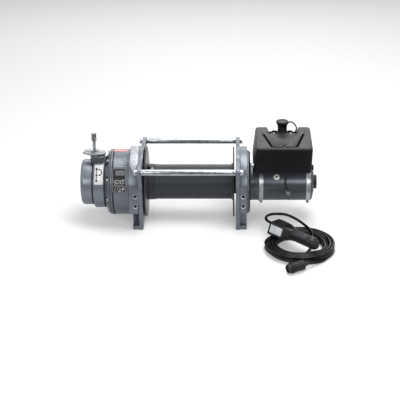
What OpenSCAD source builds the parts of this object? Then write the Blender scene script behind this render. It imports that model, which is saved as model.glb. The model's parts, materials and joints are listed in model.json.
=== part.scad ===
// Electric winch with a tie-rod frame, a control pack and a corded hand control.
// X runs along the drum axis towards the motor, Y points to the back, Z points up.
// The origin is on the mounting plane under the feet, midway between the drum flanges.
// Angles round the drum axis start at the front, minus Y, and turn up over the top.

/* [Drum] */
// Height of the drum axis above the mounting plane
axis_h = 122; // [119:1:160]
// Diameter of the drum barrel
barrel_d = 114; // [96:1:130]
// Clear width between the drum flanges
flange_gap = 282; // [200:1:400]
// Diameter of the drum flanges
flange_d = 230; // [190:1:232]
// Thickness of a drum flange
flange_t = 4.5; // [3:0.5:8]
// Diameter of the collar beside the left flange
collar_d = 118; // [116:1:130]
// Width of the collar beside the left flange
collar_w = 24; // [22:1:32]
// Width of the lower step beside that collar
collar_step_w = 10; // [4:1:20]
// Radius of the fillet at the right flange
barrel_fillet = 10; // [4:1:16]
// Diameter of the journal that turns in each support
journal_d = 80; // [60:1:90]
// Length of a journal inside its bore
journal_in = 9; // [6:0.5:10]
// Diameter of the hole that takes the end of the rope
rope_hole_d = 12; // [8:0.5:12]
// Distance of the rope hole from the left flange
rope_hole_off = 7; // [6.5:0.5:7.5]
// Diameter of the screw that clamps the rope
anchor_d = 9; // [6:0.5:9]
// Distance of the clamp screw from the rope hole
anchor_off = 11.5; // [11:0.5:12]
// Angle of the rope hole and its screw above the front
anchor_angle = 72; // [40:1:100]

/* [Drum supports] */
// Gap between a turning flange and the support beside it
side_gap = 5; // [3:0.5:8]
// Thickness of a support plate
plate_t = 12.5; // [10:0.5:18]
// Radius of the round top of a support
boss_r = 116; // [114:1:130]
// Distance of a front or back face from the drum axis
face_y = 112; // [100:1:112]
// How far the plate edge stands proud of that face
plate_proud = 2; // [0.5:0.5:4]
// Length of the left boss outside its plate
boss_left = 31; // [24:1:45]
// Length of the right boss outside its plate
boss_right = 24; // [20:1:40]
// Width of the left foot outside its plate
foot_left = 21; // [18:1:24]
// Width of the right foot outside its plate
foot_right = 23; // [18:1:24]
// Thickness of a foot pad
pad_t = 12; // [8:1:16]
// Height of the pocket above a foot pad
pocket_h = 44; // [30:1:50]
// Depth of the pocket above a foot pad, at the middle of the foot
pocket_depth = 28; // [24:1:36]
// How much shallower the left pockets are at their outer side than at the plate
pocket_slant = 16; // [0:1:22]
// Height of the relief under the middle of a support
relief_h = 8; // [4:1:10]
// Width of the relief under the middle of a support
relief_w = 120; // [80:1:150]
// Diameter of a foot bolt hole
foot_hole_d = 13; // [10:0.5:14]
// Distance of a foot bolt hole from the drum axis
foot_hole_y = 99; // [96:1:101]
// Distance of the foot and face holes from the plate beside them
foot_hole_off = 11; // [9:0.5:11.5]
// Diameter of a threaded hole in the front face
face_hole_d = 10; // [8:0.5:12]
// Diameter of a threaded hole in the back face
back_hole_d = 10.5; // [8:0.5:12]
// Depth of a threaded hole in the front or back face
face_hole_depth = 22; // [15:1:30]
// Distance between the two threaded holes of a face
face_hole_pitch = 34; // [26:1:40]
// How far the upper threaded hole lies below the drum axis
face_hole_drop = 6.5; // [0:0.5:8]
// Width of the raised land on the left boss
land_w = 25; // [15:1:28]
// Thickness of the raised land on the left boss
land_t = 2; // [1:0.5:4]

/* [Tie rods] */
// Diameter of a tie rod
rod_d = 20; // [16:0.5:24]
// Distance of a tie rod from the drum axis, front to back
rod_y = 137; // [132:1:150]
// Height of a tie rod above the drum axis
rod_z = 90; // [80:1:95]
// Radius of the ear that holds a tie rod
ear_r = 12.5; // [12:0.5:16]
// Diameter of a tie rod bolt
rod_bolt_d = 12; // [8:0.5:12]
// Diameter of the head of a tie rod bolt
rod_head_d = 19; // [16:0.5:22]
// Height of the head of a tie rod bolt
rod_head_h = 10.5; // [8:0.5:14]
// How far a tie rod bolt reaches into its rod
rod_bolt_in = 18; // [12:1:30]

/* [Gear end] */
// Diameter of the gear housing
housing_d = 213; // [200:1:225]
// Length of the gear housing
housing_len = 60; // [50:1:90]
// Thickness of the flange at the outer end of the gear housing
housing_flange_t = 5; // [4:0.5:10]
// How far that flange stands proud of the housing
housing_flange_proud = 1.5; // [0.5:0.5:3]
// Thickness of the bolted ring
ring_t = 19; // [14:1:25]
// Diameter of the small end of the bolted ring
ring_small_d = 173; // [170:1:180]
// Number of screws round the bolted ring
ring_screws = 9; // [6:1:10]
// How far the circle of screws lies inside the edge of the housing
ring_screw_in = 9.5; // [9:0.5:11]
// Angle of the first screw above the front
ring_screw_angle = 25.7; // [20:0.1:30]
// Diameter of a screw head on the bolted ring
ring_head_d = 12; // [10:0.5:13]
// Height of a screw head on the bolted ring
ring_head_h = 7; // [5:0.5:8]
// Depth at which the screw heads are sunk into the bolted ring
ring_head_in = 5; // [1:0.5:6]
// Diameter of the clutch ring
clutch_ring_d = 169; // [158:1:170]
// Length of the clutch ring
clutch_ring_len = 40; // [36:1:50]
// Diameter of the end cap
cap_d = 149; // [130:1:152]
// Length of the end cap
cap_len = 42; // [30:1:60]
// Radius of the rounded edge of the end cap
cap_round = 11; // [4:1:18]
// Thickness of the plates and strips stuck on the gear end
label_t = 0.8; // [0.5:0.1:1.5]

/* [Clutch lever] */
// Length of the clutch block along the drum axis
block_len = 42; // [36:1:50]
// Width of the clutch block, front to back
block_w = 62; // [50:1:70]
// Height of the top of the clutch block above the drum axis
block_top = 100; // [96:1:110]
// Length of the clutch lever from tip to tip
lever_len = 76; // [60:1:78]
// Thickness of the clutch lever
lever_t = 6; // [4:0.5:8]
// Diameter of the middle of the clutch lever
lever_hub_d = 48; // [36:1:56]
// Width of the left tip of the clutch lever
lever_tip_w = 25; // [14:1:32]
// Width of the right tip of the clutch lever
lever_end_w = 19; // [12:1:26]
// Angle of the clutch lever at rest, clockwise seen from above
lever_angle = 12; // [0:1:30]
// Diameter of the lever's pivot pin
pivot_d = 16; // [12:0.5:20]
// Height of the post above the clutch lever
post_h = 66; // [50:1:80]
// Diameter of the stem of the post
stem_d = 8; // [6:0.5:9]
// Diameter of the spring round the stem
spring_d = 12.4; // [11:0.2:14]
// Diameter of the knob on the post
knob_d = 16.4; // [12:0.2:20]
// Height of the knob on the post
knob_h = 16; // [10:1:20]
// Diameter of the collar below the knob
post_collar_d = 17.6; // [14:0.2:20]
// Height of the collar below the knob
post_collar_h = 9; // [6:0.5:12]

/* [Motor] */
// Thickness of the motor flange disc
adapter_t = 5; // [4:0.5:8]
// Diameter of the motor flange disc
adapter_d = 208; // [190:1:226]
// Thickness of the dark disc next to the motor
mount_disc_t = 5; // [4:0.5:8]
// Diameter of the motor
motor_d = 122; // [110:1:130]
// Length of the motor body
motor_len = 201; // [190:1:260]
// Width of a steel band round the motor
band_w = 14; // [10:0.5:18]
// Thickness of a steel band round the motor
band_t = 1.5; // [1:0.1:2.5]
// Distance of the left band from the motor's left end
band_left_off = 29; // [20:1:60]
// Distance of the right band from the motor's right end
band_right_off = 4; // [3:1:20]
// Length of the end bell
bell_len = 8; // [6:1:16]
// Diameter of the small end of the end bell
bell_small_d = 62; // [54:1:90]
// Diameter of the knurled plug on the end bell
plug_d = 46; // [30:1:50]
// Length of the knurled plug on the end bell
plug_len = 10; // [6:1:16]

/* [Control pack] */
// Distance of the middle of the pack from the motor's left end
pack_off = 103; // [101:1:120]
// Width of the pack at its foot
pack_w = 188; // [184:1:199]
// Width of the pack at its top
pack_top_w = 182; // [172:1:184]
// How far the top of the pack lies to the right of its foot
pack_top_shift = 6; // [-6:1:7]
// Depth of the pack at its foot
pack_depth = 205; // [190:1:220]
// Depth of the pack at its top
pack_top_depth = 199; // [184:1:210]
// How far the middle of the pack lies behind the drum axis
pack_back = 4; // [0:1:8]
// Height of the pack cover
pack_h = 82; // [70:1:100]
// Gap between the motor and the base plate of the pack
pack_gap = 9; // [6:0.5:16]
// Thickness of the base plate of the pack
base_t = 3; // [2:0.5:6]
// Radius of the rounded corners of the pack
pack_corner = 12; // [9:1:18]
// Radius of the rounded top edge of the pack
pack_edge = 8; // [4:1:9]
// Depth of the recess for the socket
recess_depth = 18; // [12:1:24]
// Width of the recess for the socket
recess_w = 106; // [98:1:116]
// How much narrower the floor of the recess is than its mouth
recess_slope = 14; // [0:1:20]
// Length of the recess for the socket, front to back
recess_len = 63; // [58:1:70]
// Width of the grooves in the top
groove_w = 8; // [3:0.5:9]
// Depth of the grooves in the top
groove_depth = 6; // [3:0.5:10]

/* [Socket] */
// Width of the socket plate
socket_plate_w = 69; // [62:1:80]
// Depth of the socket plate, front to back
socket_plate_d = 42; // [38:1:50]
// Thickness of the socket plate
socket_plate_t = 6; // [4:0.5:8]
// Diameter of the socket
socket_d = 31; // [24:1:34]
// Height of the socket above its plate
socket_h = 42; // [34:1:48]
// Diameter of the cap on the socket
socket_cap_d = 42; // [36:1:46]
// Height of the cap on the socket
socket_cap_h = 17; // [14:0.5:22]
// Thickness of the strap that holds the cap
tether_t = 4; // [2:0.1:5]

/* [Hand control] */
// Length of the hand control
hand_len = 188; // [170:1:210]
// Width of the head of the hand control
head_w = 62; // [54:1:70]
// Length of the head of the hand control
head_len = 92; // [80:1:100]
// Thickness of the head of the hand control
head_t = 40; // [34:1:46]
// Diameter of the handle of the hand control
handle_d = 38; // [32:1:44]
// Diameter of the cord
cord_d = 9; // [8:0.5:10]
// Radius of the cord coil, to the middle of its turns
coil_r = 92; // [88:1:110]
// Width of the coil from its inside to its outside
coil_w = 40; // [30:1:44]
// Height of the coil
coil_h = 28; // [27:1:40]
// Diameter of the plug
cord_plug_d = 34; // [30:1:40]
// Length of the plug
cord_plug_len = 58; // [50:1:70]

/* [Hidden] */
$fn = 96;

// Clearance round a bolt in its hole and between curved faces that meet
fit = 0.3;
// Clearance round a shaft that turns in its bore
run_fit = 0.1;
// Gap between a small piece and the side that it sits on
seat_gap = 0.1;
// Overlap of a cutter past the face that it cuts
past = 1;

// Places along the drum axis
inner_x = flange_gap / 2 + flange_t + side_gap;
outer_x = inner_x + plate_t;
left_boss_x = -outer_x - boss_left;
housing_x = left_boss_x - housing_len;
ring_x = housing_x - ring_t;
clutch_x = ring_x - clutch_ring_len;
cap_x = clutch_x - cap_len;
right_boss_x = outer_x + boss_right;
disc_x = right_boss_x + adapter_t;
motor_x = disc_x + mount_disc_t;
motor_end_x = motor_x + motor_len;
bell_x = motor_end_x + bell_len;
pack_x = motor_x + pack_off;
pivot_x = clutch_x + 2;
foot_hole_x = outer_x + foot_hole_off;

// Heights above the mounting plane
rod_h = axis_h + rod_z;
lever_h = axis_h + block_top + fit;
lever_top = lever_h + lever_t;
base_h = axis_h + motor_d / 2 + pack_gap;
cover_h = base_h + base_t;
pack_top = cover_h + pack_h;
recess_h = pack_top - recess_depth;
socket_top = recess_h + socket_plate_t + socket_h;

// Points of an arc, in steps of about 10 degrees
function arc(centre, r, from, to) =
    let (steps = max(2, ceil(abs(to - from) / 10)))
    [for (i = [0 : steps])
        let (a = from + (to - from) * i / steps)
        [centre[0] + r * cos(a), centre[1] + r * sin(a)]];

// A straight round bar along X, round the drum axis
module bar_x(r, x0, x1) {
    translate([x0, 0, axis_h]) rotate([0, 90, 0]) cylinder(r = r, h = x1 - x0);
}

// A turned piece round the drum axis, from points of radius and X
module turned(points) {
    translate([0, 0, axis_h]) rotate([0, 90, 0]) rotate_extrude() polygon(points);
}

// Stands children on the drum axis at x, with their Z pointing out at an angle above the front
module radial(x, angle) {
    translate([x, 0, axis_h]) rotate([90 - angle, 0, 0]) children();
}

// A slab along X whose outline is drawn in Y and Z, with Z measured from the drum axis
module slab_x(x0, x1) {
    translate([x0, 0, axis_h]) rotate([90, 0, 90]) linear_extrude(height = x1 - x0) children();
}

// A hexagon bar with the given width across its flats
module hex(flats, h) {
    cylinder(d = flats / cos(30), h = h, $fn = 6);
}

// A round tube of 8 or more sides that follows points
function unit(v) = v / norm(v);
function along(points, i) =
    unit(points[min(i + 1, len(points) - 1)] - points[max(i - 1, 0)]);
function side_of(t) = unit(cross(t, abs(t[2]) > 0.9 ? [0, 1, 0] : [0, 0, 1]));
function ring_of(p, t, r, sides) =
    let (a = side_of(t), b = cross(t, a))
    [for (k = [0 : sides - 1]) p + r * (cos(360 * k / sides) * a + sin(360 * k / sides) * b)];
module tube(points, r, sides) {
    rings = [for (i = [0 : len(points) - 1]) ring_of(points[i], along(points, i), r, sides)];
    last = (len(points) - 1) * sides;
    polyhedron(
        points = [for (ring = rings) for (p = ring) p],
        faces = concat(
            [[for (k = [0 : sides - 1]) k]],
            [[for (k = [sides - 1 : -1 : 0]) last + k]],
            [for (i = [0 : len(points) - 2]) for (k = [0 : sides - 1])
                let (a = i * sides + k, b = i * sides + (k + 1) % sides)
                [a, a + sides, b + sides, b]]));
}

// Smooth points through a list of chosen points
function blend(a, b, c, d, t) =
    0.5 * (2 * b + (c - a) * t + (2 * a - 5 * b + 4 * c - d) * t * t
        + (3 * b - a - 3 * c + d) * t * t * t);
function smooth(points, steps) =
    let (n = len(points) - 1)
    concat(
        [for (i = [0 : n - 1]) for (s = [0 : steps - 1])
            blend(points[max(i - 1, 0)], points[i], points[i + 1], points[min(i + 2, n)], s / steps)],
        [points[n]]);

// Gear end
module gear_end_cap() {
    r = cap_d / 2;
    edge = arc([r - cap_round, cap_x + cap_round], cap_round, -90, 0);
    color("slategray") turned(concat([[0, cap_x]], edge, [[r, clutch_x], [0, clutch_x]]));
}

module clutch_ring() {
    r = clutch_ring_d / 2;
    neck = 7;
    neck_len = 4;
    edge = 1.5;
    step = 5;
    color("slategray") turned([
        [0, clutch_x], [r - step, clutch_x], [r - step, clutch_x + edge], [r - edge, clutch_x + edge],
        [r, clutch_x + 2 * edge], [r, ring_x - neck_len - edge], [r - edge, ring_x - neck_len],
        [r - neck, ring_x - neck_len], [r - neck, ring_x], [0, ring_x]]);
}

// Seats of the ring screws, cut square into the tapered ring
seat_x = ring_x + ring_head_h + ring_head_in;
seat_d = ring_head_d + 4;
screw_d = ring_head_d * 0.6;
ring_screw_r = housing_d / 2 - ring_screw_in;

module ring_screw_places() {
    for (i = [0 : ring_screws - 1])
        radial(0, ring_screw_angle + i * 360 / ring_screws) translate([0, 0, ring_screw_r])
            rotate([0, 90, 0]) children();
}

module bolted_ring() {
    r = housing_d / 2;
    lip = 5;
    groove = 2.5;
    color("slategray") difference() {
        turned([
            [0, ring_x], [ring_small_d / 2, ring_x], [r, housing_x - lip],
            [r, housing_x - groove], [r - groove, housing_x], [0, housing_x]]);
        ring_screw_places() {
            translate([0, 0, ring_x - past]) cylinder(d = seat_d, h = seat_x - ring_x + past);
            translate([0, 0, ring_x]) cylinder(d = screw_d + 2 * fit, h = ring_t);
        }
    }
}

module bolted_ring_screws() {
    color("silver") ring_screw_places() difference() {
        union() {
            translate([0, 0, seat_x - ring_head_h]) cylinder(d = ring_head_d, h = ring_head_h);
            translate([0, 0, seat_x]) cylinder(d = screw_d, h = housing_x - seat_x);
        }
        translate([0, 0, seat_x - ring_head_h - past]) hex(ring_head_d / 2, ring_head_h / 2 + past);
    }
}

module gear_housing() {
    r = housing_d / 2;
    rim = r + housing_flange_proud;
    shoulder = 6;
    color("slategray") turned([
        [0, housing_x], [rim - 1, housing_x], [rim, housing_x + 1],
        [rim, housing_x + housing_flange_t - 1], [rim - 1, housing_x + housing_flange_t],
        [r, housing_x + housing_flange_t + 1], [r, left_boss_x - shoulder],
        [rim, left_boss_x - shoulder + 2], [rim, left_boss_x], [0, left_boss_x]]);
}

// A thin sheet bent round the drum axis between two angles above the front
module curved_sheet(r, t, x0, x1, from, to) {
    translate([x0, 0, axis_h]) rotate([0, 90, 0]) rotate([0, 0, -90 - to])
        rotate_extrude(angle = to - from) translate([r, 0]) square([t, x1 - x0]);
}

sheet_gap = 0.1;
sheet_margin = 1.5;
plate_margin = 8.5;
module housing_plate() {
    color("black") curved_sheet(housing_d / 2 + sheet_gap, label_t,
        housing_x + housing_flange_t + sheet_margin, left_boss_x - plate_margin, 3.5, 47);
}

module housing_top_strip() {
    color("salmon") curved_sheet(housing_d / 2 + sheet_gap, label_t,
        housing_x + housing_flange_t + sheet_margin, left_boss_x - plate_margin, 90, 120);
}

label_margin = 6.5;
module clutch_ring_label() {
    color("white") curved_sheet(clutch_ring_d / 2 + sheet_gap, label_t,
        clutch_x + label_margin, ring_x - label_margin, 16.5, 61);
}

// Clutch lever
pivot_in = 16;
module clutch_block() {
    chamfer = 4;
    x0 = pivot_x - block_len / 4;
    x1 = min(x0 + block_len, ring_x - 1);
    color("slategray") difference() {
        translate([x0, 0, 0]) rotate([90, 0, 90]) linear_extrude(height = x1 - x0) polygon([
            [-block_w / 2, axis_h], [-block_w / 2, axis_h + block_top - chamfer],
            [-block_w / 2 + chamfer, axis_h + block_top], [block_w / 2 - chamfer, axis_h + block_top],
            [block_w / 2, axis_h + block_top - chamfer], [block_w / 2, axis_h]]);
        bar_x(clutch_ring_d / 2 + fit, x0 - past, x1 + past);
        translate([pivot_x, 0, axis_h + block_top - pivot_in])
            cylinder(d = pivot_d + 2 * run_fit, h = pivot_in + past);
    }
}

module clutch_lever() {
    reach = lever_len / 2;
    cut = 5;
    waist = lever_hub_d * 0.47;
    color("lightgray") translate([pivot_x, 0, lever_h]) rotate([0, 0, -lever_angle]) difference() {
        union() {
            cylinder(d = lever_hub_d, h = lever_t);
            linear_extrude(height = lever_t) polygon([
                [0, -waist], [reach - cut, -lever_end_w / 2], [reach, -lever_end_w / 2 + cut],
                [reach, lever_end_w / 2 - cut], [reach - cut, lever_end_w / 2], [0, waist],
                [cut - reach, lever_tip_w / 2], [cut - reach - 2, lever_tip_w / 2 - 2],
                [-reach, 2 - lever_tip_w / 2], [2 - reach, -lever_tip_w / 2]]);
        }
        translate([0, 0, -past]) cylinder(d = pivot_d + 2 * fit, h = lever_t + 2 * past);
    }
}

nut_h = 7;
module clutch_pivot() {
    color("silver") translate([pivot_x, 0, lever_top - pivot_in]) {
        cylinder(d = pivot_d, h = pivot_in);
        translate([0, 0, pivot_in]) hex(22, nut_h);
    }
}

post_foot = lever_top + nut_h;
knob_foot = lever_top + post_h - knob_h;
post_collar_foot = knob_foot - post_collar_h - 1.5;
module clutch_post() {
    color("silver") translate([pivot_x, 0, 0]) {
        translate([0, 0, post_foot]) cylinder(d = stem_d, h = knob_foot - post_foot);
        translate([0, 0, post_collar_foot]) cylinder(d = post_collar_d, h = post_collar_h);
        translate([0, 0, knob_foot]) cylinder(d = knob_d, h = knob_h - 2);
        translate([0, 0, knob_foot + knob_h - 2]) cylinder(d1 = knob_d, d2 = knob_d - 4, h = 2);
    }
}

module clutch_spring() {
    color("silver") translate([pivot_x, 0, post_foot]) difference() {
        cylinder(d = spring_d, h = post_collar_foot - post_foot);
        translate([0, 0, -past]) cylinder(d = stem_d + 2 * fit, h = post_h);
    }
}

// Drum supports
module ear_places() {
    for (y = [-rod_y, rod_y]) translate([y, rod_z]) children();
}

// Outline of a support plate: round top, two ears and a straight-sided foot
module plate_outline() {
    edge = face_y + plate_proud;
    knee = 24;
    step = [edge - rod_y, knee - rod_z];
    turn = atan2(step[1], step[0]) + acos(ear_r / norm(step));
    shoulder = rod_z + ear_r;
    meet = sqrt(max(1, boss_r * boss_r - shoulder * shoulder));
    circle(r = boss_r);
    translate([-edge, -axis_h]) square([2 * edge, axis_h + knee]);
    ear_places() circle(r = ear_r);
    for (side = [-1, 1]) polygon([
        [0, knee], [side * edge, knee],
        [side * (rod_y + ear_r * cos(turn)), rod_z + ear_r * sin(turn)],
        [side * rod_y, rod_z], [side * rod_y, shoulder], [side * meet, shoulder], [0, shoulder]]);
}

// Outline of the boss: round top over a block with flat front and back
module boss_outline() {
    flat_top = sqrt(boss_r * boss_r - face_y * face_y);
    intersection() {
        circle(r = boss_r);
        translate([-face_y, 0]) square([2 * face_y, boss_r]);
    }
    difference() {
        translate([-face_y, pad_t + pocket_h - axis_h])
            square([2 * face_y, axis_h - pad_t - pocket_h + flat_top / 2]);
        translate([-face_y - past, flat_top]) square([2 * face_y + 2 * past, boss_r]);
    }
}

// One support at the right end of the drum, without what only one side has
module support(boss_len, foot_w, slant) {
    groove = 2;
    difference() {
        union() {
            slab_x(inner_x, outer_x) plate_outline();
            slab_x(outer_x + groove, outer_x + boss_len) boss_outline();
            slab_x(outer_x, outer_x + groove) intersection() {
                boss_outline();
                circle(r = boss_r - groove);
            }
            foot(foot_w, slant);
        }
        bar_x(journal_d / 2 + run_fit, inner_x - past, inner_x + journal_in + 1.5);
        translate([inner_x - past, -relief_w / 2, -past])
            cube([plate_t + foot_w + 2 * past, relief_w, relief_h + past]);
        for (y = [-rod_y, rod_y]) translate([inner_x - past, y, rod_h]) rotate([0, 90, 0])
            cylinder(d = rod_bolt_d + 2 * fit, h = plate_t + 2 * past);
        face_holes();
        for (y = [-foot_hole_y, foot_hole_y]) translate([foot_hole_x, y, -past])
            cylinder(d = foot_hole_d, h = pad_t + 2 * past);
    }
}

// Web, pads and pockets of the foot outside its plate
module foot(foot_w, slant) {
    near = face_y - pocket_depth - slant / 2;
    far = face_y - pocket_depth + slant / 2;
    translate([outer_x, -face_y, 0]) cube([foot_w, 2 * face_y, pad_t]);
    linear_extrude(height = pad_t + pocket_h) polygon([
        [outer_x - past, near], [outer_x, near], [outer_x + foot_w, far],
        [outer_x + foot_w, -far], [outer_x, -near], [outer_x - past, -near]]);
}

// Pairs of threaded holes in the front and back faces, with a small countersink
module face_holes() {
    sink = 1.5;
    for (side = [-1, 1], i = [0, 1])
        translate([foot_hole_x, side * face_y, axis_h - face_hole_drop - i * face_hole_pitch])
            rotate([side * 90, 0, 0]) translate([0, 0, -past]) let (d = side < 0 ? face_hole_d : back_hole_d) {
                cylinder(d = d, h = face_hole_depth + past);
                cylinder(d1 = d + 2 * (sink + past), d2 = d, h = sink + past);
            }
}

module drum_support_right() {
    color("slategray") support(boss_right, foot_right, 0);
}

// The left support is the mirror of the right one, with a raised land that ends in a point
module drum_support_left() {
    tip_z = 72;
    shoulder_z = 90;
    mid = -outer_x - 3 - land_w / 2;
    color("slategray") {
        mirror([1, 0, 0]) support(boss_left, foot_left, pocket_slant);
        intersection() {
            difference() {
                bar_x(boss_r + land_t, mid - land_w / 2, mid + land_w / 2);
                bar_x(boss_r - land_t, mid - land_w, mid + land_w);
            }
            translate([0, boss_r + 2 * land_t, axis_h]) rotate([90, 0, 0])
                linear_extrude(height = 2 * boss_r + 4 * land_t) polygon([
                    [mid, tip_z], [mid + land_w / 2, shoulder_z], [mid + land_w / 2, boss_r + 2 * land_t],
                    [mid - land_w / 2, boss_r + 2 * land_t], [mid - land_w / 2, shoulder_z]]);
        }
    }
}

// Tie rods
module tie_rod(y) {
    color("gainsboro") translate([-inner_x, y, rod_h]) rotate([0, 90, 0]) difference() {
        cylinder(d = rod_d, h = 2 * inner_x);
        for (z = [-past, 2 * inner_x - rod_bolt_in - fit])
            translate([0, 0, z]) cylinder(d = rod_bolt_d + 2 * fit, h = rod_bolt_in + fit + past);
    }
}

module tie_rod_front() { tie_rod(-rod_y); }
module tie_rod_rear() { tie_rod(rod_y); }

module tie_rod_bolts(side) {
    socket = rod_head_h / 2;
    color("silver") for (y = [-rod_y, rod_y])
        translate([side * outer_x, y, rod_h]) rotate([0, side * 90, 0]) difference() {
            union() {
                cylinder(d = rod_head_d, h = rod_head_h);
                translate([0, 0, -plate_t - rod_bolt_in]) cylinder(d = rod_bolt_d, h = plate_t + rod_bolt_in);
            }
            translate([0, 0, rod_head_h - socket]) hex(rod_head_d / 2, socket + past);
        }
}

module tie_rod_bolts_left() { tie_rod_bolts(-1); }
module tie_rod_bolts_right() { tie_rod_bolts(1); }

// Drum
rope_x = -flange_gap / 2 + rope_hole_off;
screw_x = rope_x + anchor_off;
rope_hole_in = 24;
anchor_in = 18;

module drum_barrel() {
    r = barrel_d / 2;
    end = flange_gap / 2 + flange_t;
    flat = flange_gap / 2;
    neck_x = inner_x + journal_in;
    groove = 1.5;
    collar_end = -flat + collar_w;
    step_end = collar_end + collar_step_w;
    color("dimgray") difference() {
        turned(concat(
            [[0, -neck_x], [journal_d / 2, -neck_x], [journal_d / 2, -end], [r, -end], [r, -flat],
             [collar_d / 2, -flat], [collar_d / 2, collar_end - groove], [r, collar_end],
             [(r + collar_d / 2) / 2, collar_end + groove], [(r + collar_d / 2) / 2, step_end - groove],
             [r, step_end]],
            arc([r + barrel_fillet, flat - barrel_fillet], barrel_fillet, 180, 90),
            [[r, flat], [r, end], [journal_d / 2, end], [journal_d / 2, neck_x], [0, neck_x]]));
        radial(rope_x, anchor_angle) translate([0, 0, collar_d / 2 - rope_hole_in])
            cylinder(d = rope_hole_d, h = rope_hole_in + past);
        radial(screw_x, anchor_angle) translate([0, 0, collar_d / 2 - anchor_in])
            cylinder(d = anchor_d, h = anchor_in + past);
    }
}

module drum_flange(side) {
    rim = 1;
    x0 = side * flange_gap / 2;
    x1 = side * (flange_gap / 2 + flange_t);
    bore = barrel_d / 2 + 0.1;
    color("gray") turned([
        [bore, min(x0, x1)], [flange_d / 2 - rim, min(x0, x1)], [flange_d / 2, min(x0, x1) + rim],
        [flange_d / 2, max(x0, x1) - rim], [flange_d / 2 - rim, max(x0, x1)], [bore, max(x0, x1)]]);
}

module drum_flange_left() { drum_flange(-1); }
module drum_flange_right() { drum_flange(1); }

module rope_anchor_screw() {
    color("silver") radial(screw_x, anchor_angle) translate([0, 0, collar_d / 2 - anchor_in])
        difference() {
            cylinder(d = anchor_d - 0.2, h = anchor_in - 1);
            translate([0, 0, anchor_in - 6]) hex(anchor_d / 2, 6);
        }
}

// Motor
module motor_flange_disc() {
    r = adapter_d / 2;
    color("slategray") turned([[0, right_boss_x], [r, right_boss_x], [r, disc_x - 1], [r - 1, disc_x],
        [0, disc_x]]);
}

module motor_mount_disc() {
    r = adapter_d / 2 - 2;
    color("#2b2d30") turned([[0, disc_x], [r, disc_x], [r - mount_disc_t, motor_x], [0, motor_x]]);
}

module motor_body() {
    r = motor_d / 2;
    edge = 1.5;
    color("#3c4148") turned([[0, motor_x], [r, motor_x], [r, motor_end_x - edge],
        [r - edge, motor_end_x], [0, motor_end_x]]);
}

band_left_x = motor_x + band_left_off;
band_right_x = motor_end_x - band_right_off - band_w;
band_angle = -80;

module motor_band(x) {
    r = motor_d / 2 + fit / 2;
    color("gainsboro") translate([x, 0, axis_h]) rotate([0, 90, 0]) difference() {
        cylinder(r = r + band_t, h = band_w);
        translate([0, 0, -past]) cylinder(r = r, h = band_w + 2 * past);
    }
}

module motor_band_left() { motor_band(band_left_x); }
module motor_band_right() { motor_band(band_right_x); }

clamp_len = 16;
clamp_t = 3;
clamp_screw_d = 7;
clamp_screw_len = 24;
module motor_band_screws() {
    foot = motor_d / 2 + fit + band_t;
    color("silver") for (x = [band_left_x, band_right_x])
        radial(x + band_w / 2, band_angle) translate([0, 0, foot]) {
            translate([-band_w / 2 + 1, -clamp_len / 2, 0]) cube([band_w - 2, clamp_len, clamp_t]);
            translate([0, clamp_screw_len / 2 + 1, clamp_t + 1]) rotate([90, 0, 0])
                cylinder(d = clamp_screw_d, h = clamp_screw_len);
        }
}

module motor_end_bell() {
    color("#24262a") turned([[0, motor_end_x], [motor_d / 2 - 2.5, motor_end_x],
        [motor_d / 2 - 4, motor_end_x + 2], [bell_small_d / 2, bell_x], [0, bell_x]]);
}

module motor_end_plug() {
    r = plug_d / 2;
    teeth = 18;
    color("#1b1c1e") difference() {
        turned([[0, bell_x], [r, bell_x], [r, bell_x + plug_len - 1], [r - 1, bell_x + plug_len],
            [0, bell_x + plug_len]]);
        for (i = [0 : teeth - 1]) radial(0, i * 360 / teeth) translate([bell_x + 2, 0, r])
            rotate([0, 90, 0]) cylinder(r = 1.6, h = plug_len);
    }
}

// Terminals on the front of the motor
terminal_x = motor_x + 86;
terminal_angle = 36;
earth_x = motor_x + 125;
earth_angle = -14;
insulator_d = 19;
insulator_h = 8;

module terminal_insulator() {
    r = motor_d / 2;
    color("white") difference() {
        radial(terminal_x, terminal_angle) translate([0, 0, r - 4]) difference() {
            union() {
                cylinder(d = insulator_d, h = insulator_h + 2);
                translate([0, 0, insulator_h + 2]) cylinder(d1 = insulator_d, d2 = insulator_d - 4, h = 2);
            }
            translate([0, 0, insulator_h]) cylinder(d = 11, h = 5);
        }
        bar_x(r + 0.1, terminal_x - insulator_d, terminal_x + insulator_d);
    }
}

module terminal_nut() {
    color("silver") radial(terminal_x, terminal_angle) translate([0, 0, motor_d / 2 - 4 + insulator_h]) {
        hex(8.5, 4);
        cylinder(d = 5, h = 7);
    }
}

stud_d = 15;
module earth_stud() {
    r = motor_d / 2;
    color("silver") difference() {
        radial(earth_x, earth_angle) translate([0, 0, r - 4]) {
            cylinder(d = stud_d, h = 6.5);
            translate([0, 0, 6.5]) hex(8.5, 4);
        }
        bar_x(r + 0.1, earth_x - stud_d, earth_x + stud_d);
    }
}

// Route of the earth lead from the base plate of the pack down to the eye on its stud
lead_d = 4;
lead_route = [
    [earth_x - 6, -71, base_h - seat_gap], [earth_x - 6, -71, base_h - 8], [earth_x - 8, -69.5, base_h - 22],
    [earth_x - 10, -68, axis_h + 32], [earth_x - 10, -67, axis_h + 18], [earth_x - 8, -66.5, axis_h + 6],
    [earth_x - 5, -66, axis_h - 2], [earth_x - 2, -66.4, axis_h - 9]];
module earth_lead() {
    color("black") difference() {
        tube(smooth(lead_route, 3), lead_d / 2, 8);
        radial(earth_x, earth_angle) cylinder(d = stud_d + 0.4, h = motor_d);
    }
}

// Control pack
saddle_w = 110;
saddle_d = 76;
module pack_saddle() {
    color("#1b1c1e") difference() {
        translate([pack_x - saddle_w / 2, -saddle_d / 2, axis_h])
            cube([saddle_w, saddle_d, base_h - axis_h]);
        bar_x(motor_d / 2 + fit / 2, pack_x - saddle_w, pack_x + saddle_w);
    }
}

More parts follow.
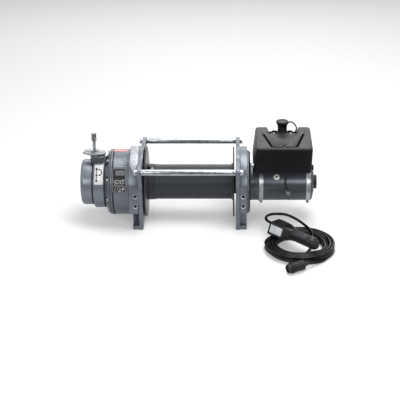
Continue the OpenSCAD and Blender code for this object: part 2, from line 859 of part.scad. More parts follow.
module rounded_slab(w, d, r, h) {
    x = w / 2 - r;
    y = d / 2 - r;
    translate([-x, -d / 2, 0]) cube([2 * x, d, h]);
    translate([-w / 2, -y, 0]) cube([w, 2 * y, h]);
    for (i = [-x, x], j = [-y, y]) translate([i, j, 0]) cylinder(r = r, h = h, $fn = 48);
}

module pack_base_plate() {
    inset = 3;
    color("#26282b") translate([pack_x, pack_back, base_h])
        rounded_slab(pack_w - inset, pack_depth - inset, pack_corner, base_t);
}

// Places measured from the middle of the pack: grooves fan out towards the back
groove_front_y = -85;
groove_back_y = 30;
groove_front_x = 40;
groove_back_x = 66;
catch_d = 9;

module groove_bar(from, to) {
    run = to - from;
    translate([from[0], from[1], 0]) rotate([0, 0, atan2(run[1], run[0])])
        translate([0, -groove_w / 2, 0]) cube([norm(run), groove_w, groove_depth + past]);
}

module pack_cover() {
    r = pack_corner;
    e = pack_edge;
    recess_y = pack_top_depth / 2 - recess_len;
    notch_x = socket_plate_w / 2 - 12;
    color("#1b1c1e") translate([pack_x, pack_back, 0]) difference() {
        hull($fn = 32) {
            for (x = [-1, 1], y = [-1, 1]) {
                translate([x * (pack_w / 2 - r), y * (pack_depth / 2 - r), cover_h])
                    cylinder(r = r, h = 1);
                translate([pack_top_shift + x * (pack_top_w / 2 - r), y * (pack_top_depth / 2 - r), pack_top - e])
                    rotate_extrude() union() {
                        square([r - e, e]);
                        intersection() {
                            translate([r - e, 0]) circle(r = e);
                            square([r, e]);
                        }
                    }
            }
        }
        translate([pack_top_shift, recess_y, 0]) rotate([90, 0, 0]) translate([0, 0, -recess_len - pack_edge])
            linear_extrude(height = recess_len + pack_edge) polygon([
                [-recess_w / 2 + recess_slope / 2, recess_h], [recess_w / 2 - recess_slope / 2, recess_h],
                [recess_w / 2 + past, pack_top + past], [-recess_w / 2 - past, pack_top + past]]);
        for (x = [-notch_x, notch_x]) translate([x + pack_top_shift, recess_y, recess_h])
            cylinder(d = 10, h = recess_depth + past);
        translate([pack_top_shift, 0, pack_top - groove_depth]) {
            groove_bar([-groove_front_x, groove_front_y], [-groove_back_x, groove_back_y]);
            groove_bar([groove_front_x, groove_front_y], [groove_back_x, groove_back_y]);
            groove_bar([-groove_front_x, groove_front_y], [groove_front_x, groove_front_y]);
            translate([0, groove_front_y + 10, 0]) cylinder(d = catch_d + 4, h = groove_depth + past, $fn = 4);
        }
    }
}

// A side of the cover, minus 1 for the left one, leans in by this angle and lies this far out at a height
function lean_run(side) = (pack_w - pack_top_w) / 2 - side * pack_top_shift + pack_edge;
function side_lean(side) =
    let (rise = pack_h - pack_edge - 1)
    atan2(lean_run(side), rise) - asin(pack_edge / norm([lean_run(side), rise]));
function pack_side(side, h) = side * (pack_w / 2 + seat_gap - (h - cover_h - 1) * tan(side_lean(side)));

module pack_side_screw() {
    h = cover_h + 17;
    color("silver") translate([pack_x + pack_side(-1, h), -78, h]) rotate([0, side_lean(-1) - 90, 0]) {
        cylinder(d = 13, h = 2.5);
        hex(9, 6);
        cylinder(d = 5, h = 9);
    }
}

module pack_side_latch() {
    h = cover_h + 3;
    color("black") translate([pack_x + pack_side(1, h), -84, h]) rotate([0, -side_lean(1), 0]) {
        cube([6, 16, 12]);
        translate([0, 2, 12]) cube([4, 5, 5]);
    }
}

// Socket for the hand control
socket_y = pack_back + pack_top_depth / 2 - socket_plate_d / 2 - 6;
socket_x = pack_x + pack_top_shift - 2;
module socket_plate() {
    color("#1b1c1e") translate([socket_x, socket_y, recess_h])
        rounded_slab(socket_plate_w, socket_plate_d, 5, socket_plate_t);
}

screw_head_d = 8;
module socket_screws() {
    color("silver") for (x = [-1, 1], y = [-1, 1])
        translate([socket_x + x * (socket_plate_w / 2 - 7), socket_y + y * (socket_plate_d / 2 - 7),
                recess_h + socket_plate_t])
            difference() {
                cylinder(d = screw_head_d, h = 4);
                translate([0, 0, 2]) hex(4, 4);
            }
}

module socket_body() {
    color("#141516") translate([socket_x, socket_y, recess_h + socket_plate_t]) {
        cylinder(d = socket_d + 6, h = 5);
        cylinder(d = socket_d, h = socket_h - socket_cap_h);
    }
}

module socket_cap() {
    foot = socket_top - socket_cap_h;
    round = 4;
    rim = 3;
    color("#202123") translate([socket_x, socket_y, foot]) rotate_extrude() polygon(concat(
        [[0, 0], [socket_d / 2 + 1, 0], [socket_cap_d / 2 - 1, socket_cap_h - round - rim],
         [socket_cap_d / 2, socket_cap_h - round - rim + 1]],
        arc([socket_cap_d / 2 - round, socket_cap_h - round], round, 0, 90), [[0, socket_cap_h]]));
}

// Strap from the cap down to a ring beside the socket plate
tether_route = [
    [20.5, 0, 12], [26, -1, 13.5], [33, -3, 12], [41, -5, 6], [46, -7, -4], [45, -8, -14],
    [42, -8, -21], [40, -8, -27]];
module cap_tether() {
    foot = socket_top - socket_cap_h;
    color("#202123") translate([socket_x, socket_y, foot]) {
        difference() {
            tube(smooth(tether_route, 4), tether_t / 2, 8);
            translate([0, 0, -past]) cylinder(d = socket_cap_d + 2 * seat_gap, h = socket_cap_h + 2 * past);
        }
    }
    color("#202123") translate([socket_x + 40, socket_y - 8, recess_h]) cylinder(d = 9, h = 4);
}

// Hand control, lying across the coil of its own cord
coil_x = pack_x + 51;
coil_y = -256;
coil_out = coil_r + coil_w / 2;
hand_angle = -46;
hand_x = coil_x - 16;
hand_y = coil_y + 6;
hand_h = coil_h + fit;
module hand_frame() {
    translate([hand_x, hand_y, hand_h]) rotate([0, 0, hand_angle]) children();
}
function hand_point(p) = [
    hand_x + p[0] * cos(hand_angle) - p[1] * sin(hand_angle),
    hand_y + p[0] * sin(hand_angle) + p[1] * cos(hand_angle),
    hand_h + p[2]];

// The front side of the head leans back by this angle, and its edges have this radius
front_lean = 24;
front_r = 6;

// Floor of the pocket for the bare plate, which is let into the front side of the head
bare_plate_w = 50;
bare_plate_h = 25;
bare_plate_t = 1.2;
module plate_place() {
    out = front_r - bare_plate_t + 0.3;
    translate([-hand_len / 2 + 10, front_r - head_w / 2, front_r]) rotate([-front_lean, 0, 0])
        translate([0, -out, 3]) children();
}

// Head: a rounded block, with its left end at minus half the length
gland_y = 10;
gland_d = cord_d + 7;
gland_len = 16;
gland_in = 3;
module hand_control_head() {
    x0 = -hand_len / 2;
    r = 10;
    front_top = front_r - head_w / 2 + (head_t - 2 * front_r) * tan(front_lean);
    color("#1c1d1f") hand_frame() difference() {
        hull($fn = 32) {
            translate([x0 + r, head_w / 2 - r, r]) sphere(r = r);
            translate([x0 + r, head_w / 2 - r - 4, head_t - r]) sphere(r = r);
            translate([x0 + head_len - r, head_w / 2 - r - 8, head_t - r - 3]) sphere(r = r);
            for (x = [front_r, bare_plate_w + 16]) {
                translate([x0 + x, front_r - head_w / 2, front_r]) sphere(r = front_r);
                translate([x0 + x, front_top, head_t - front_r]) sphere(r = front_r);
            }
            translate([x0 + head_len - 1, 0, handle_d / 2]) rotate([0, 90, 0])
                cylinder(d = handle_d, h = 1);
        }
        plate_place() translate([-0.2, -12, -0.2]) cube([bare_plate_w + 0.4, 12, bare_plate_h + 0.4]);
        translate([x0 + gland_in, gland_y, head_t / 2]) rotate([0, -90, 0])
            cylinder(d = gland_d + 0.4, h = 2 * gland_in);
    }
}

module hand_control_handle() {
    x0 = -hand_len / 2 + head_len;
    end = hand_len / 2;
    r = handle_d / 2;
    round = 9;
    color("#222326") hand_frame() translate([0, 0, r]) rotate([0, 90, 0]) rotate_extrude() polygon(concat(
        [[0, x0], [r, x0], [r - 2, x0 + 6], [r - 1, end - 30]],
        arc([r - 1 - round, end - round], round, 0, 90), [[0, end]]));
}

module hand_control_plate() {
    color("lightgray") hand_frame() plate_place() translate([0, -bare_plate_t, 0])
        cube([bare_plate_w, bare_plate_t, bare_plate_h]);
}

module hand_control_gland() {
    color("#1b1c1e") hand_frame() translate([gland_in - hand_len / 2, gland_y, head_t / 2])
        rotate([0, -90, 0]) cylinder(d1 = gland_d, d2 = cord_d + 2, h = gland_len);
}

// Cord: its route out of the hand control, in a loose arch over the coil and into its turns
gland_tip_x = gland_in - hand_len / 2 - gland_len;
tail_start = hand_point([gland_tip_x, gland_y, head_t / 2]);
tail_next = hand_point([gland_tip_x - 14, gland_y, head_t / 2]);
tail_route = [
    [-101, 113.5, 48.5], [-103.5, 129, 48.8], [-99, 144, 48.5], [-89, 156.5, 48], [-77, 162.5, 47.5],
    [-65, 164, 47.2], [-46, 162, 47], [-28, 154, 45.5], [-9, 141, 41.5], [8, 124, 37.5],
    [22, 104, 34.5], [32, 84, 34], [38.5, 64, 33.5], [42, 45, 30], [43, 27, 24],
    [41, 9, 17], [36, -8, 11], [28, -24, 7], [17, -38, 5], [4, -49, 4.6],
    [-9.7, -55.1, 4.6], [-25.4, -57.1, 4.6], [-40.9, -54.3, 4.6], [-54.7, -47.6, 4.6], [-65.6, -37.9, 4.6],
    [-72.8, -25.1, 4.6]];

// Route from the turns of the coil to the back of the plug
lead_back = [[32.5, -119.5, 14], [45.5, -109.5, 10], [57.5, -98.5, 6.5], [70, -86, 4.8], [80, -71, 4.6]];

function from_coil(points) = [for (p = points) [coil_x + p[0], coil_y + p[1], p[2]]];

module cord_tail() {
    color("black") tube(concat([tail_start, tail_next], from_coil(tail_route)), cord_d / 2, 10);
}

module cord_lead() {
    color("black") tube(concat([plug_back], from_coil(lead_back)), cord_d / 2, 10);
}

module cord_coil() {
    r = 12;
    color("#18191a") translate([coil_x, coil_y, 0]) rotate_extrude() translate([coil_r, 0]) union() {
        translate([-coil_w / 2 + r, 0]) square([coil_w - 2 * r, coil_h]);
        translate([-coil_w / 2, r]) square([coil_w, coil_h - 2 * r]);
        for (x = [-1, 1], y = [0, 1])
            translate([x * (coil_w / 2 - r), r + y * (coil_h - 2 * r)]) circle(r = r);
    }
}

plug_x = coil_x + 6;
plug_y = coil_y - coil_out - 24;
plug_angle = 32;
boot_len = 16;
plug_back = [plug_x + boot_len * cos(plug_angle), plug_y + boot_len * sin(plug_angle), cord_plug_d / 2];
module plug_frame() {
    translate([plug_x, plug_y, cord_plug_d / 2]) rotate([0, 0, plug_angle]) rotate([0, -90, 0]) children();
}

module cord_plug() {
    wall = 2.5;
    r = cord_plug_d / 2;
    color("#141516") plug_frame() difference() {
        union() {
            cylinder(r = r - 1, h = cord_plug_len * 0.6);
            translate([0, 0, cord_plug_len * 0.6]) cylinder(r = r - 3, h = cord_plug_len * 0.4);
            translate([0, 0, -boot_len]) cylinder(d1 = cord_d + 2, d2 = 2 * r - 8, h = boot_len);
        }
        translate([0, 0, cord_plug_len - 14]) cylinder(r = r - 3 - wall, h = 14 + past);
    }
}

module cord_plug_ring() {
    color("#202123") plug_frame() translate([0, 0, cord_plug_len * 0.6]) difference() {
        cylinder(d = cord_plug_d, h = 14);
        translate([0, 0, -past]) cylinder(r = cord_plug_d / 2 - 3 + 0.2, h = 14 + 2 * past);
    }
}

gear_end_cap();
clutch_ring();
bolted_ring();
bolted_ring_screws();
gear_housing();
housing_plate();
housing_top_strip();
clutch_ring_label();
clutch_block();
clutch_lever();
clutch_pivot();
clutch_post();
clutch_spring();
drum_support_left();
drum_support_right();
tie_rod_front();
tie_rod_rear();
tie_rod_bolts_left();
tie_rod_bolts_right();
drum_barrel();
drum_flange_left();
drum_flange_right();
rope_anchor_screw();
motor_flange_disc();
motor_mount_disc();
motor_body();
motor_band_left();
motor_band_right();
motor_band_screws();
motor_end_bell();
motor_end_plug();
terminal_insulator();
terminal_nut();
earth_stud();
earth_lead();
pack_saddle();
pack_base_plate();
pack_cover();
pack_side_screw();
pack_side_latch();
socket_plate();
socket_screws();
socket_body();
socket_cap();
cap_tether();
hand_control_head();
hand_control_handle();
hand_control_plate();
hand_control_gland();
cord_tail();
cord_lead();
cord_coil();
cord_plug();
cord_plug_ring();
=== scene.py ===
"""The looks of an electric winch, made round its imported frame. Shapes are given in millimetres."""
import json
import math

import bmesh
import bpy
from mathutils import Matrix, Vector

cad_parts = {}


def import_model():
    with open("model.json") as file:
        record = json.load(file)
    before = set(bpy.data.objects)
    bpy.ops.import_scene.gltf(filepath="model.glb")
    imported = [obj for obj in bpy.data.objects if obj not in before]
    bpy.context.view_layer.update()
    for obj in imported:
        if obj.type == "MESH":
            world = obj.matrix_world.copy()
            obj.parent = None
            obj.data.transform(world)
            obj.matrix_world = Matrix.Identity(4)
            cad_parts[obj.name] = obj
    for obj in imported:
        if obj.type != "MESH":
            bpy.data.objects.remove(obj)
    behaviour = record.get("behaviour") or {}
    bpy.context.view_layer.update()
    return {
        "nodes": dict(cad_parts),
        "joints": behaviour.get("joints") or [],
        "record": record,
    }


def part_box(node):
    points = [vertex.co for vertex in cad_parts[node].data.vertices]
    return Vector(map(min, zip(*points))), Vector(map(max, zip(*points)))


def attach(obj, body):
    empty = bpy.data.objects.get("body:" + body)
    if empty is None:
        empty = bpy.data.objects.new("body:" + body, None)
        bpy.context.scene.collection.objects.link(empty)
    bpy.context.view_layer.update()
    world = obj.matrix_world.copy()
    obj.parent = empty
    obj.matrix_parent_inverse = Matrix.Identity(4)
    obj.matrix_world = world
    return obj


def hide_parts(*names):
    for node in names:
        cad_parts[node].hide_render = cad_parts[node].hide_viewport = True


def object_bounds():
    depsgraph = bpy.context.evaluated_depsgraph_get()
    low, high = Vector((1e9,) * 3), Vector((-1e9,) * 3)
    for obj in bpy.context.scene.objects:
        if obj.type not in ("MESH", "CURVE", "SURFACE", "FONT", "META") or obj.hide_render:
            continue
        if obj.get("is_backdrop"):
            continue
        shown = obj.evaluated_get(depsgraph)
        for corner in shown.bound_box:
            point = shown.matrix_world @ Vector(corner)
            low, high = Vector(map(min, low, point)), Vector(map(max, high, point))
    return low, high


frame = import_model()

MM = 0.001
joint_at = {joint["name"]: Vector(joint["pos_m"]) for joint in frame["joints"]}
node_body = {node: body for body, nodes in frame["record"]["behaviour"]["bodies"].items() for node in nodes}
node_slot = {part["node"]: part["material_slot"] for part in frame["record"]["subparts"]}
AXIS_H = joint_at["drum_spin"].z / MM
PIVOT_X = joint_at["clutch_turn"].x / MM

# Camera, in metres: the middle of the view, how far it stands off, and how steeply it looks down
VIEW_POINT = Vector((0.151, 0.0, AXIS_H * MM))
VIEW_DISTANCE = 4.125
VIEW_ELEVATION = math.radians(23.5)
LENS, SENSOR, FAR_CLIP = 112.5, 36.0, 50
FRAME_PIXELS = 400
VIEW_POINT_PIXEL = (236, 181.5)


def linked(name, data):
    """A new object, put into the scene."""
    obj = bpy.data.objects.new(name, data)
    bpy.context.scene.collection.objects.link(obj)
    return obj


def aimed(obj, location, aim):
    obj.location = location
    obj.rotation_mode = "QUATERNION"
    obj.rotation_quaternion = (Vector(aim) - Vector(location)).to_track_quat("-Z", "Y")
    return obj


def camera():
    data = bpy.data.cameras.new("camera")
    data.lens, data.sensor_width, data.clip_end = LENS, SENSOR, FAR_CLIP
    data.shift_x = (FRAME_PIXELS / 2 - VIEW_POINT_PIXEL[0]) / FRAME_PIXELS
    data.shift_y = (VIEW_POINT_PIXEL[1] - FRAME_PIXELS / 2) / FRAME_PIXELS
    back = Vector((0, -math.cos(VIEW_ELEVATION), math.sin(VIEW_ELEVATION)))
    bpy.context.scene.camera = aimed(linked("camera", data), VIEW_POINT + back * VIEW_DISTANCE, VIEW_POINT)


# Places and moves
def in_metres(point):
    return Vector([value * MM for value in point])


def at(x, y, z):
    """A move."""
    return Matrix.Translation(in_metres((x, y, z)))


def spun(angle, axis):
    """A turn, in degrees."""
    return Matrix.Rotation(math.radians(angle), 4, axis)


def polar(radius, angle, centre=(0, 0)):
    """A point at an angle in degrees round a centre."""
    a = math.radians(angle)
    return centre[0] + radius * math.cos(a), centre[1] + radius * math.sin(a)


def box(node):
    """A node's lowest and highest corners."""
    return [[value / MM for value in corner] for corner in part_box(node)]


def middle(node):
    low, high = box(node)
    return [(a + b) / 2 for a, b in zip(low, high)]


def ends(node):
    """Where a node begins and ends along the drum axis."""
    low, high = box(node)
    return low[0], high[0]


def radius_of(node):
    low, high = box(node)
    return (high[1] - low[1]) / 2


ALONG_X = spun(90, "Y")
ON_DRUM_AXIS = at(0, 0, AXIS_H) @ ALONG_X


def standing_out(x, angle, height=0.0):
    """Local Z points out from the drum axis, at an angle above the front."""
    return at(x, 0, AXIS_H) @ spun(90 - angle, "X") @ at(0, 0, height)


# Modelling by hand, in small steps
def pick(obj=None):
    """Selects one object alone, or nothing."""
    bpy.ops.object.select_all(action="DESELECT")
    if obj:
        obj.select_set(True)
        bpy.context.view_layer.objects.active = obj


def named(name):
    """The active object, renamed."""
    obj = bpy.context.active_object
    obj.name = obj.data.name = name
    return obj


def settled(obj):
    """Applies an object's place to its mesh."""
    pick(obj)
    bpy.ops.object.transform_apply(location=True, rotation=True, scale=True)
    return obj


def put(obj, matrix):
    """Moves an object and applies its place."""
    obj.matrix_world = matrix @ obj.matrix_world
    return settled(obj)


def modify(obj, kind, **settings):
    """Adds a modifier and applies it."""
    pick(obj)
    modifier = obj.modifiers.new(kind.lower(), kind)
    for key, value in settings.items():
        setattr(modifier, key, value)
    bpy.ops.object.modifier_apply(modifier=modifier.name)
    return obj


def bevelled(obj, width, segments=2, angle=32):
    if not width:
        return obj
    return modify(obj, "BEVEL", width=width * MM, segments=segments, limit_method="ANGLE",
                  angle_limit=math.radians(angle), use_clamp_overlap=True, harden_normals=False,
                  miter_outer="MITER_ARC")


def smooth(obj, angle=35):
    pick(obj)
    bpy.ops.object.shade_smooth_by_angle(angle=math.radians(angle))
    return obj


def edit(obj):
    pick(obj)
    bpy.ops.object.mode_set(mode="EDIT")


def leave_edit():
    bpy.ops.object.mode_set(mode="OBJECT")


def on_all(operator, **settings):
    """One edit-mode step on the whole mesh."""
    bpy.ops.mesh.select_all(action="SELECT")
    operator(**settings)


def extrude(step):
    bpy.ops.mesh.extrude_region_move(TRANSFORM_OT_translate={"value": step})


def outward(obj, merge=1e-6):
    """Merges doubles and makes every face point outwards."""
    edit(obj)
    on_all(bpy.ops.mesh.remove_doubles, threshold=merge)
    on_all(bpy.ops.mesh.normals_make_consistent, inside=False)
    leave_edit()
    return obj


def joined(name, parts):
    pick(parts[0])
    for part in parts:
        part.select_set(True)
    if len(parts) > 1:
        bpy.ops.object.join()
    return named(name)


def cut(obj, *cutters):
    """Cuts shapes out of a piece."""
    for cutter in cutters:
        modify(obj, "BOOLEAN", operation="DIFFERENCE", solver="EXACT", object=cutter)
        bpy.data.objects.remove(cutter, do_unlink=True)
    return obj


def drawn(name, points):
    """A line through points, extruded from one vertex and left in edit mode."""
    points = [in_metres(point) for point in points]
    pick()
    bpy.ops.mesh.primitive_plane_add(size=0.01, location=(0, 0, 0))
    obj = named(name)
    bpy.ops.object.mode_set(mode="EDIT")
    on_all(bpy.ops.mesh.merge, type="CENTER")
    bpy.ops.transform.translate(value=points[0])
    for here, there in zip(points, points[1:]):
        extrude(there - here)
    return obj


def turned(name, profile, steps=96, closed=False):
    """A profile of (radius, height) points, spun round Z."""
    obj = drawn(name, [(radius, 0, height) for radius, height in profile + (profile[:1] if closed else [])])
    on_all(bpy.ops.mesh.spin, steps=steps, angle=math.tau, center=(0, 0, 0), axis=(0, 0, 1))
    leave_edit()
    return smooth(outward(obj, 2e-6))


def outlined(name, points, thickness, bevel=0.0, segments=2):
    """A plate: an outline, filled and extruded upwards."""
    obj = drawn(name, [(x, y, 0) for x, y in points + points[:1]])
    on_all(bpy.ops.mesh.remove_doubles, threshold=1e-6)
    bpy.ops.mesh.edge_face_add()
    on_all(extrude, step=(0, 0, thickness * MM))
    leave_edit()
    return smooth(bevelled(outward(obj), bevel, segments, 30))


def block(name, low, high, bevel=0.0, segments=2):
    """A box between two corners, with rounded edges."""
    low, high = in_metres(low), in_metres(high)
    pick()
    bpy.ops.mesh.primitive_cube_add(size=1, location=(low + high) / 2)
    obj = named(name)
    obj.scale = high - low
    return smooth(bevelled(settled(obj), bevel, segments))


def bar(name, radius, low, high, sides=32, bevel=0.0):
    """A bar that stands on Z between two heights, with rounded rims."""
    pick()
    bpy.ops.mesh.primitive_cylinder_add(vertices=sides, radius=radius * MM, depth=(high - low) * MM,
                                        location=(0, 0, (low + high) / 2 * MM))
    return smooth(bevelled(settled(named(name)), bevel, 2, 40))


def lofted(name, rings):
    """A skin over rings of points: a circle extruded ring by ring, closed at both ends."""
    pick()
    bpy.ops.mesh.primitive_circle_add(vertices=len(rings[0]), radius=0.01, fill_type="NOTHING",
                                      location=(0, 0, 0))
    obj = named(name)
    bpy.ops.object.mode_set(mode="EDIT")
    mesh = bmesh.from_edit_mesh(obj.data)
    order = mesh.verts.layers.int.new("order")
    for i, vert in enumerate(mesh.verts):
        vert[order] = i
        vert.co = rings[0][i]
    bmesh.update_edit_mesh(obj.data)
    for ring in rings[1:]:
        extrude((0, 0, 0))
        mesh = bmesh.from_edit_mesh(obj.data)
        order = mesh.verts.layers.int["order"]
        for vert in mesh.verts:
            if vert.select:
                vert.co = ring[vert[order]]
        bmesh.update_edit_mesh(obj.data)
    bpy.ops.mesh.edge_face_add()
    mesh = bmesh.from_edit_mesh(obj.data)
    bpy.ops.mesh.select_all(action="DESELECT")
    for vert in mesh.verts:
        vert.select = any((vert.co - Vector(point)).length < 1e-7 for point in rings[0])
    mesh.select_flush(True)
    bmesh.update_edit_mesh(obj.data)
    bpy.ops.mesh.edge_face_add()
    on_all(bpy.ops.mesh.normals_make_consistent, inside=False)
    leave_edit()
    return obj


def wavered(obj, share):
    """Draws the vertices of a piece that stands on Z inwards, by a share of their radius."""
    for vert in obj.data.vertices:
        radius, angle = math.hypot(vert.co.x, vert.co.y), math.atan2(vert.co.y, vert.co.x)
        ease = 1 - share(radius / MM, angle, vert.co.z / MM)
        vert.co.x *= ease
        vert.co.y *= ease
    return obj


def line_of(name, points, radius, resolution=3):
    """A round cord along points, all in metres: a curve of one open spline."""
    data = bpy.data.curves.new(name, "CURVE")
    data.dimensions = "3D"
    data.bevel_depth = radius
    data.bevel_resolution = resolution
    data.use_fill_caps = True
    spline = data.splines.new("POLY")
    spline.points.add(len(points) - 1)
    for target, point in zip(spline.points, points):
        target.co = (*point, 1)
    spline.use_smooth = True
    return linked(name, data)


def meshed(obj):
    """Turns a curve into a mesh."""
    pick(obj)
    bpy.ops.object.convert(target="MESH")
    return outward(bpy.context.active_object)


# Profiles and routes
TINY = 1e-4
NEARLY_STRAIGHT = math.radians(172)
MOST_OF_A_SIDE = 0.45


def arc_points(centre, radius, start, end, parts=5):
    return [polar(radius, start + (end - start) * i / parts, centre) for i in range(parts + 1)]


def softened(points, radius, parts=3):
    """A profile with its corners rounded."""
    result = [points[0]]
    for before, here, after in zip(points, points[1:], points[2:]):
        a, b, c = Vector(before), Vector(here), Vector(after)
        back, ahead = a - b, c - b
        if min(back.length, ahead.length) < TINY or back.angle(ahead) > NEARLY_STRAIGHT:
            result.append(here)
            continue
        start, end = (b + side.normalized() * min(radius, side.length * MOST_OF_A_SIDE)
                      for side in (back, ahead))
        for i in range(parts + 1):
            t = i / parts
            result.append(tuple(start * (1 - t) ** 2 + b * 2 * t * (1 - t) + end * t * t))
    return result + [points[-1]]


def rectangle(x0, y0, x1, y1):
    return [(x0, y0), (x1, y0), (x1, y1), (x0, y1)]


def rounded_rectangle(wide, tall, corner):
    return [point for x, y, start in ((wide - corner, tall - corner, 0), (corner, tall - corner, 90),
                                      (corner, corner, 180), (wide - corner, corner, 270))
            for point in arc_points((x, y), corner, start, start + 90, 3)]


def blend_of(a, b, c, d, t):
    return 0.5 * (2 * b + (c - a) * t + (2 * a - 5 * b + 4 * c - d) * t * t
                  + (3 * b - a - 3 * c + d) * t ** 3)


def flowing(points, steps):
    """Smooth points through chosen ones, as in the part's source."""
    points = [Vector(point) for point in points]
    last = len(points) - 1
    around = [(points[max(i - 1, 0)], points[i], points[i + 1], points[min(i + 2, last)]) for i in range(last)]
    return [blend_of(*four, step / steps) for four in around for step in range(steps)] + [points[last]]


# Pieces on the frame
def fitted(obj, look, *nodes, body=None, slot=None):
    """Gives a piece its look and its body, and hides the CAD nodes that it stands for."""
    obj.data.materials.clear()
    obj.data.materials.append(looks[look])
    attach(obj, body or node_body[nodes[0]])
    if nodes:
        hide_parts(*nodes)
    return obj


def added_trim(obj, look, slot):
    """Fits a thin piece of the standing part that stands for no CAD node."""
    return fitted(obj, look, body="winch_frame", slot=slot)


def dressed(node, name, look, bevel, segments=2):
    """A copy of a CAD node with its triangles merged and its edges rounded."""
    source = frame["nodes"][node]
    twin = source.copy()
    twin.data = source.data.copy()
    twin.parent = None
    for key in list(twin.keys()):
        del twin[key]
    bpy.context.scene.collection.objects.link(twin)
    twin.name = name
    edit(twin)
    on_all(bpy.ops.mesh.remove_doubles, threshold=2e-5)
    bpy.ops.mesh.customdata_custom_splitnormals_clear()
    bpy.ops.mesh.dissolve_limited(angle_limit=math.radians(0.5))
    leave_edit()
    return fitted(smooth(bevelled(twin, bevel, segments)), look, node)


def repainted(obj, look, chosen):
    """Gives another look to the faces that a test of their centre and normal chooses."""
    obj.data.materials.append(looks[look])
    for face in obj.data.polygons:
        if chosen(face.center / MM, face.normal):
            face.material_index = len(obj.data.materials) - 1


def lathed(node, name, look, profile, soft, parts=3, steps=128, closed=False):
    """A piece turned round the drum axis, between its node's ends and out to its node's radius."""
    points = softened(profile(*ends(node), radius_of(node)), soft, parts)
    return fitted(put(turned(name, points, steps, closed), ON_DRUM_AXIS), look, node)


# Shader nodes, and the groups that several materials share
def added(tree, kind, inputs=None, **settings):
    """A new shader node with its settings and its inputs, each a value or another node's output."""
    node = tree.nodes.new("ShaderNode" + kind)
    for key, value in settings.items():
        setattr(node, key, value)
    for key, value in (inputs or {}).items():
        if isinstance(value, bpy.types.NodeSocket):
            tree.links.new(value, node.inputs[key])
        else:
            node.inputs[key].default_value = (*value, 1) if isinstance(value, tuple) else value
    return node.outputs


def maths(tree, operation, a, b, clamp=False):
    return added(tree, "Math", {0: a, 1: b}, operation=operation, use_clamp=clamp)[0]


def ranged(tree, value, low, high, to_low=0.0, to_high=1.0):
    return added(tree, "MapRange", {"Value": value, "From Min": low, "From Max": high, "To Min": to_low,
                                    "To Max": to_high})["Result"]


def noise(tree, vector, scale, detail=3.0, roughness=0.5):
    return added(tree, "TexNoise", {"Vector": vector, "Scale": scale, "Detail": detail,
                                    "Roughness": roughness})["Fac"]


def mixed(tree, factor, a, b):
    """Mixes two colours."""
    return added(tree, "Mix", {0: factor, 6: a, 7: b}, data_type="RGBA")[2]


def object_place(tree):
    return added(tree, "TexCoord")["Object"]


def along(tree, axis):
    """A vector that changes along one axis only."""
    number = added(tree, "SeparateXYZ", {0: object_place(tree)})[axis]
    return added(tree, "CombineXYZ", {axis: number})[0]


def new_group(build, **inputs):
    """A group with number inputs, named after its build function, which returns what it puts out."""
    tree = bpy.data.node_groups.new(build.__name__, "ShaderNodeTree")
    for label, value in inputs.items():
        tree.interface.new_socket(label, in_out="INPUT", socket_type="NodeSocketFloat").default_value = value
    outputs = build(tree, tree.nodes.new("NodeGroupInput").outputs)
    for label in outputs:
        tree.interface.new_socket(label, in_out="OUTPUT", socket_type="NodeSocketFloat")
    result = tree.nodes.new("NodeGroupOutput")
    for label, value in outputs.items():
        tree.links.new(value, result.inputs[label])
    return tree


# How alike the flat and the rounded normal are on a flat and on an edge, and the noise that breaks wear up
FLAT_LIKENESS, EDGE_LIKENESS = 0.995, 0.86
WEAR_BREAKS = (0.38, 0.6)


def edge_wear(tree, given):
    """Where an edge is rubbed: 1 on sharp edges, broken up by noise."""
    rounded = added(tree, "Bevel", {"Radius": given["Radius"]}, samples=4)["Normal"]
    flat = added(tree, "NewGeometry")["Normal"]
    likeness = added(tree, "VectorMath", {0: rounded, 1: flat}, operation="DOT_PRODUCT")["Value"]
    grain = noise(tree, object_place(tree), given["Break"])
    edge, broken = ranged(tree, likeness, FLAT_LIKENESS, EDGE_LIKENESS), ranged(tree, grain, *WEAR_BREAKS)
    return {"Mask": maths(tree, "MULTIPLY", edge, broken, clamp=True)}


def cast_grain(tree, given):
    """The fine skin of a painted casting: a height and a slow mottle."""
    spot = object_place(tree)
    fine = noise(tree, spot, given["Grain"], 2.0, 0.6)
    slow = noise(tree, spot, given["Mottle"], 4.0, 0.55)
    return {"Height": maths(tree, "ADD", fine, maths(tree, "MULTIPLY", slow, 0.6)),
            "Shade": ranged(tree, slow, 0.3, 0.7)}


def turned_lines(tree, given):
    """Fine rings left by turning about the drum axis: lines that change along X only."""
    line = along(tree, "X")
    fine = noise(tree, line, given["Lines"], 2.0, 0.7)
    coarse = noise(tree, line, 160.0, 3.0, 0.6)
    return {"Height": fine, "Shade": maths(tree, "ADD", maths(tree, "MULTIPLY", fine, 0.5),
                                           maths(tree, "MULTIPLY", coarse, 0.5))}


def face_turning(tree, given):
    """Rings on a face that stands square to the drum axis: lines that change with the radius."""
    spot = added(tree, "SeparateXYZ", {0: object_place(tree)})
    up = maths(tree, "SUBTRACT", spot["Z"], AXIS_H * MM)
    flat = added(tree, "CombineXYZ", {"Y": spot["Y"], "Z": up})[0]
    radius = added(tree, "VectorMath", {0: flat}, operation="LENGTH")["Value"]
    ring = added(tree, "CombineXYZ", {"X": radius})[0]
    return {"Height": noise(tree, ring, given["Lines"], 3.0, 0.7), "Shade": noise(tree, ring, 70.0, 3.0, 0.6)}


def moulded_skin(tree, given):
    """The spark-eroded skin of moulded plastic: small rounded bumps."""
    spot = object_place(tree)
    cells = added(tree, "TexVoronoi", {"Vector": spot, "Scale": given["Scale"]}, feature="SMOOTH_F1")
    return {"Height": cells["Distance"], "Shade": noise(tree, spot, 40.0, 4.0, 0.6)}


